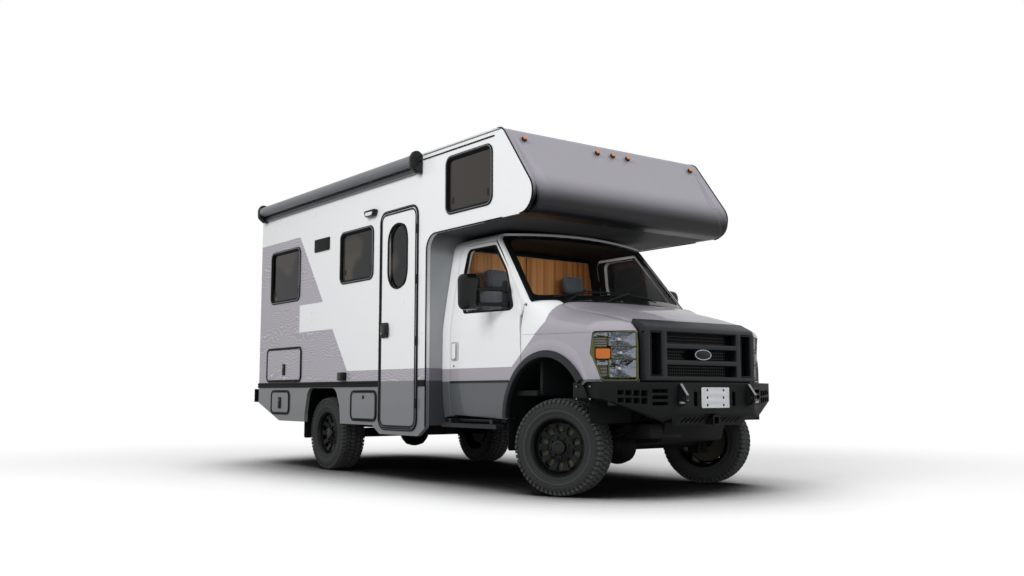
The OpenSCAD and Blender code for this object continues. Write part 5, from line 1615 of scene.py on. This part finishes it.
def stuffed(mesh, swell=0.009, voxel=0.0125):
    """Cushion filled by a short cloth simulation; no point ends further than swell from its start."""
    shell = evaluated(mesh, [("REMESH", {"mode": "VOXEL", "voxel_size": voxel})])
    start = [v.co.copy() for v in shell.vertices]
    obj = bpy.data.objects.new("cushion", shell)
    scene.collection.objects.link(obj)
    cloth = obj.modifiers.new("cloth", "CLOTH")
    cloth.settings.use_pressure = True
    cloth.settings.uniform_pressure_force = 4
    cloth.settings.effector_weights.gravity = 0
    for frame_number in range(1, 15):
        scene.frame_set(frame_number)
    filled = plain_mesh(obj)
    scene.frame_set(1)
    for vertex, before in zip(filled.vertices, start):
        move = vertex.co - before
        if move.length > swell:
            vertex.co = before + move * (swell / move.length)
    return filled


def sewn(mesh, channels, deep=0.0065, wide=0.008):
    """Rounds the cushion once more and pulls it in along its sewn channels; each gives a distance."""
    fine = evaluated(mesh, [("SUBSURF", {"levels": 1, "render_levels": 1})])
    normals = [v.normal.copy() for v in fine.vertices]
    for vertex, normal in zip(fine.vertices, normals):
        near = min(abs(channel(vertex.co)) for channel in channels)
        vertex.co -= normal * deep * math.exp(-(near / wide) ** 2)
    return fine


FOOT = Vector((1.064, 0, 1.205))
LEAN = Vector((-0.165, 0, 0.595)).normalized()
FACING = Vector((LEAN.z, 0, -LEAN.x))
bodies = [[
    section((x, 0, 1.152 - 0.01 * d), (0, 0, 1), 0.236 - 0.03 * d, 0.058 - 0.018 * d, 0.045, b) for x, d,b in (
        (0.995, 1, 0), (1.008, 0.3, 0), (1.05, 0, 0), (1.2, 0, -0.01), (1.36, 0, -0.006), (1.46, 0.1, 0),
        (1.505, 0.5, 0), (1.518, 1.2, 0))]]
for y in (-0.185, 0.185):
    bodies.append([
        section((x, y, 1.182 - 0.01 * d), (0, 0, 1), 0.044, 0.044 - 0.018 * d, 0.036) for x,d in (
            (1.01, 1), (1.04, 0), (1.2, 0), (1.38, 0), (1.43, 0.6), (1.45, 1.2))])
seat_base = stuffed(united(bodies))
seat_base = sewn(seat_base, [lambda p: abs(p.y) - 0.134, lambda p: p.x - 1.21, lambda p: p.x - 1.36])
bodies = [[
    section(FOOT + LEAN * s, FACING, 0.231 - 0.035 * d, 0.05 - 0.015 * d, 0.042, -0.006) for s,d in (
        (0.006, 1.2), (0.02, 0.4), (0.05, 0), (0.18, 0), (0.34, 0), (0.47, 0.1), (0.55, 0.5), (0.592, 1.1),
        (0.603, 1.9))]]
for y in (-0.189, 0.189):
    bodies.append([
        section(FOOT + Vector((0, y, 0)) + LEAN * s + FACING * 0.04, FACING, 0.037, 0.035 - 0.014 * d, 0.03)
        for s,d in ((0.03, 1), (0.07, 0), (0.2, 0), (0.4, 0), (0.49, 0.4), (0.53, 1.2))])
seat_back = stuffed(united(bodies))
seat_back = sewn(seat_back,
    [lambda p: abs(p.y) - 0.142, lambda p: (p - FOOT).dot(LEAN) - 0.2, lambda p: (p - FOOT).dot(LEAN) - 0.36])
head_rest = stuffed(united([[
    section(FOOT + LEAN * s, FACING, 0.128 - 0.02 * d, 0.043 - 0.015 * d, 0.036, 0.005) for s,d in (
        (0.632, 1.2), (0.646, 0.4), (0.68, 0), (0.76, 0), (0.792, 0.4), (0.812, 1.3))]]))
head_rest = sewn(head_rest, [lambda p: abs(p.y) - 0.098])
for side_name, side in SIDES:
    c = side * 0.48
    pads = [(moved(pad, Matrix.Translation((0, c, 0))), seat_cloth) for pad in (seat_base, seat_back, head_rest)]
    cushions = piece(f"{side_name}_seat_cushions", pads, ["cab_seats"] if side == RIGHT else (),
        angle=70)
    parts = []
    for dy in (-0.05, 0.05):
        a = FOOT + Vector((0, c + dy, 0))
        parts.append((tube([a + LEAN * 0.58, a + LEAN * 0.66], 0.006), zinc))
    parts += [
        (block((1.02, c - 0.17, 0.862), (1.44, c + 0.17, 0.895), 0.008), dash_plastic),
        (block((1.06, c - 0.14, 0.89), (1.4, c + 0.14, 1.088), 0.012), dash_plastic),
        (card(1.04, 0.985, 1.42, 1.085, 0.03, 0.012, 0.004, on_side(side, abs(c) + 0.185)), dash_plastic)]
    piece(f"{side_name}_seat_mount", parts, angle=50)

# dashboard with binnacle, wheel, column and a middle console
dash_profile = [
    (1.8, 1.115, 0.02), (1.8, 1.34, 0.05), (1.85, 1.43, 0.05), (1.91, 1.5, 0.03), (2.03, 1.515, 0.02),
    (2.03, 1.12, 0.02)]
dash = grid_solid([[(x, y, z) for x, z in rounded(dash_profile, 5)] for y in (-0.925, -0.9, 0.9, 0.925)])
wheel_axis = Vector((-math.sin(math.radians(60)), 0, math.cos(math.radians(60))))
at_column = frame_from(wheel_axis, (1.7, 0.48, 1.39))
hoop = [at_column @ Vector((x, y, 0)) for x, y in circle(40, 0.18)]
parts = [(softened(dash, 0.008, 2, 50), dash_plastic), (tube(hoop, 0.0145, True, 4), gloss_abs)]
for a in (0, 2.3, -2.3):
    tip = at_column @ Vector((0.172 * math.cos(a + 1.57), 0.172 * math.sin(a + 1.57), 0))
    parts.append((tube([at_column @ Vector((0, 0, -0.02)),
        at_column @ Vector((0.08 * math.cos(a + 1.57), 0.08 * math.sin(a + 1.57), -0.012)), tip],
        [0.022, 0.016, 0.012], sides=3), dash_plastic))
parts += [(
    revolve([(0, -0.035), (0.06, -0.035), (0.066, -0.01), (0.05, 0.012), (0, 0.016)], at_column, 32), dash_plastic),
    (tube([(1.705, 0.48, 1.385), (1.83, 0.48, 1.32)], 0.038, sides=5), dash_plastic),
    (plate(
        [rounded([(0.3, 1.5, 0.02), (0.66, 1.5, 0.02), (0.62, 1.572, 0.04), (0.34, 1.572, 0.04)], 4)], 0.16, 0.02,
        facing_front(1.98)), dash_plastic),
    (card(-0.16, 1.15, 0.16, 1.38, 0.02, 0.02, 0.006, facing_rear(1.792)), gloss_abs)]
for y in (-0.8, -0.3, 0.25, 0.8):
    parts.append((card(y - 0.07, 1.365, y + 0.07, 1.415, 0.02, 0.012, 0.004, facing_rear(1.818)), gloss_abs))
piece("dash_and_wheel", parts, ["dashboard"], angle=40)

# wood-faced panels behind the seats, seat belts, pillar linings and the roof lining's edge
parts = [(plate(
    [[(-0.9, 0.95), (-0.02, 0.95), (-0.02, 2.16), (-0.8, 2.16), (-0.9, 1.55)]], 0.01, 0.003, facing_front(0.748)),
    veneer),
    (plate(
        [[(-0.01, 0.95), (0.9, 0.95), (0.9, 1.55), (0.8, 2.16), (-0.01, 2.16)]], 0.01, 0.003, facing_front(0.748)),
        veneer), (card(-0.84, 2.165, 0.84, 2.215, 0.01, 0.012, 0.003, facing_front(0.75)), gloss_abs)]
for side in (RIGHT, LEFT):
    parts += [(formed(
        [rounded([(0.8, 0.9, 0.02), (0.8, 2.1, 0.02), (0.845, 2.1, 0.02), (0.845, 0.9, 0.02)])], 0.015,
        cab_skin(side, -0.055), 0.003, 0.1), lining_painted_shade),
        (tube(smooth_path([
            (0.86, side * 0.86, 1.98), (0.9, side * 0.8, 1.7), (0.93, side * 0.755, 1.3), (1.0, side * 0.745, 1.1)],
            5), 0.007, sides=2), rubber_seal)]
piece("cab_lining", parts, angle=40)

# ---------------------------------------------------------------- rear bumper
rear_parts = [(node_copy("rear_bumper", 0.006, 2), powder_coat)]
rear_parts.append((
    heads([(-3.216, y, 0.8) for y in (-0.85, -0.45, 0.45, 0.85)], (0, -math.pi / 2, 0), 0.01, 0.007, 0.006), zinc))
for side in (RIGHT, LEFT):
    rear_parts.append((
        card(-side * 0.98 - 0.06, 0.765, -side * 0.98 + 0.06, 0.812, 0.015, 0.006, 0.002, facing_rear(-3.218)),
        red_lens))
piece("rear_bumper_plate", rear_parts, ["rear_bumper"], angle=30)

# Small lamp under the cab roof that lights the panels behind the seats
softbox("cab_lamp", (1.55, 0, 2.12), (0.55, 0, 1.57), (1.2, 0.25), 4)

# ---------------------------------------------------------------- underbody shields
parts = [(plate(
    [rounded([(2.56, 0.6, 0.02), (2.96, 0.6, 0.02), (2.9, 0.43, 0.04), (2.62, 0.4, 0.04)])], 0.7, 0.006,
    on_side(LEFT, 0.35)), poly_tank), (block((2.62, -0.49, 0.458), (2.92, -0.14, 0.575), 0.012), powder_coat),
    (block((2.66, -0.62, 0.64), (2.7, 0.62, 1.28), 0.006), poly_tank),
    (plate(
        [rounded([(-0.36, 0.455, 0.03), (0.36, 0.455, 0.03), (0.44, 0.64, 0.02), (-0.44, 0.64, 0.02)])], 0.01,
        0.003, facing_front(2.08)), poly_tank),
    (bars(24, (2.702, -0.56, 0.96), (0, 0.0487, 0), (0.006, 0.008, 0.58), finish=galvanised), galvanised)]
piece("front_shields", parts, angle=35)
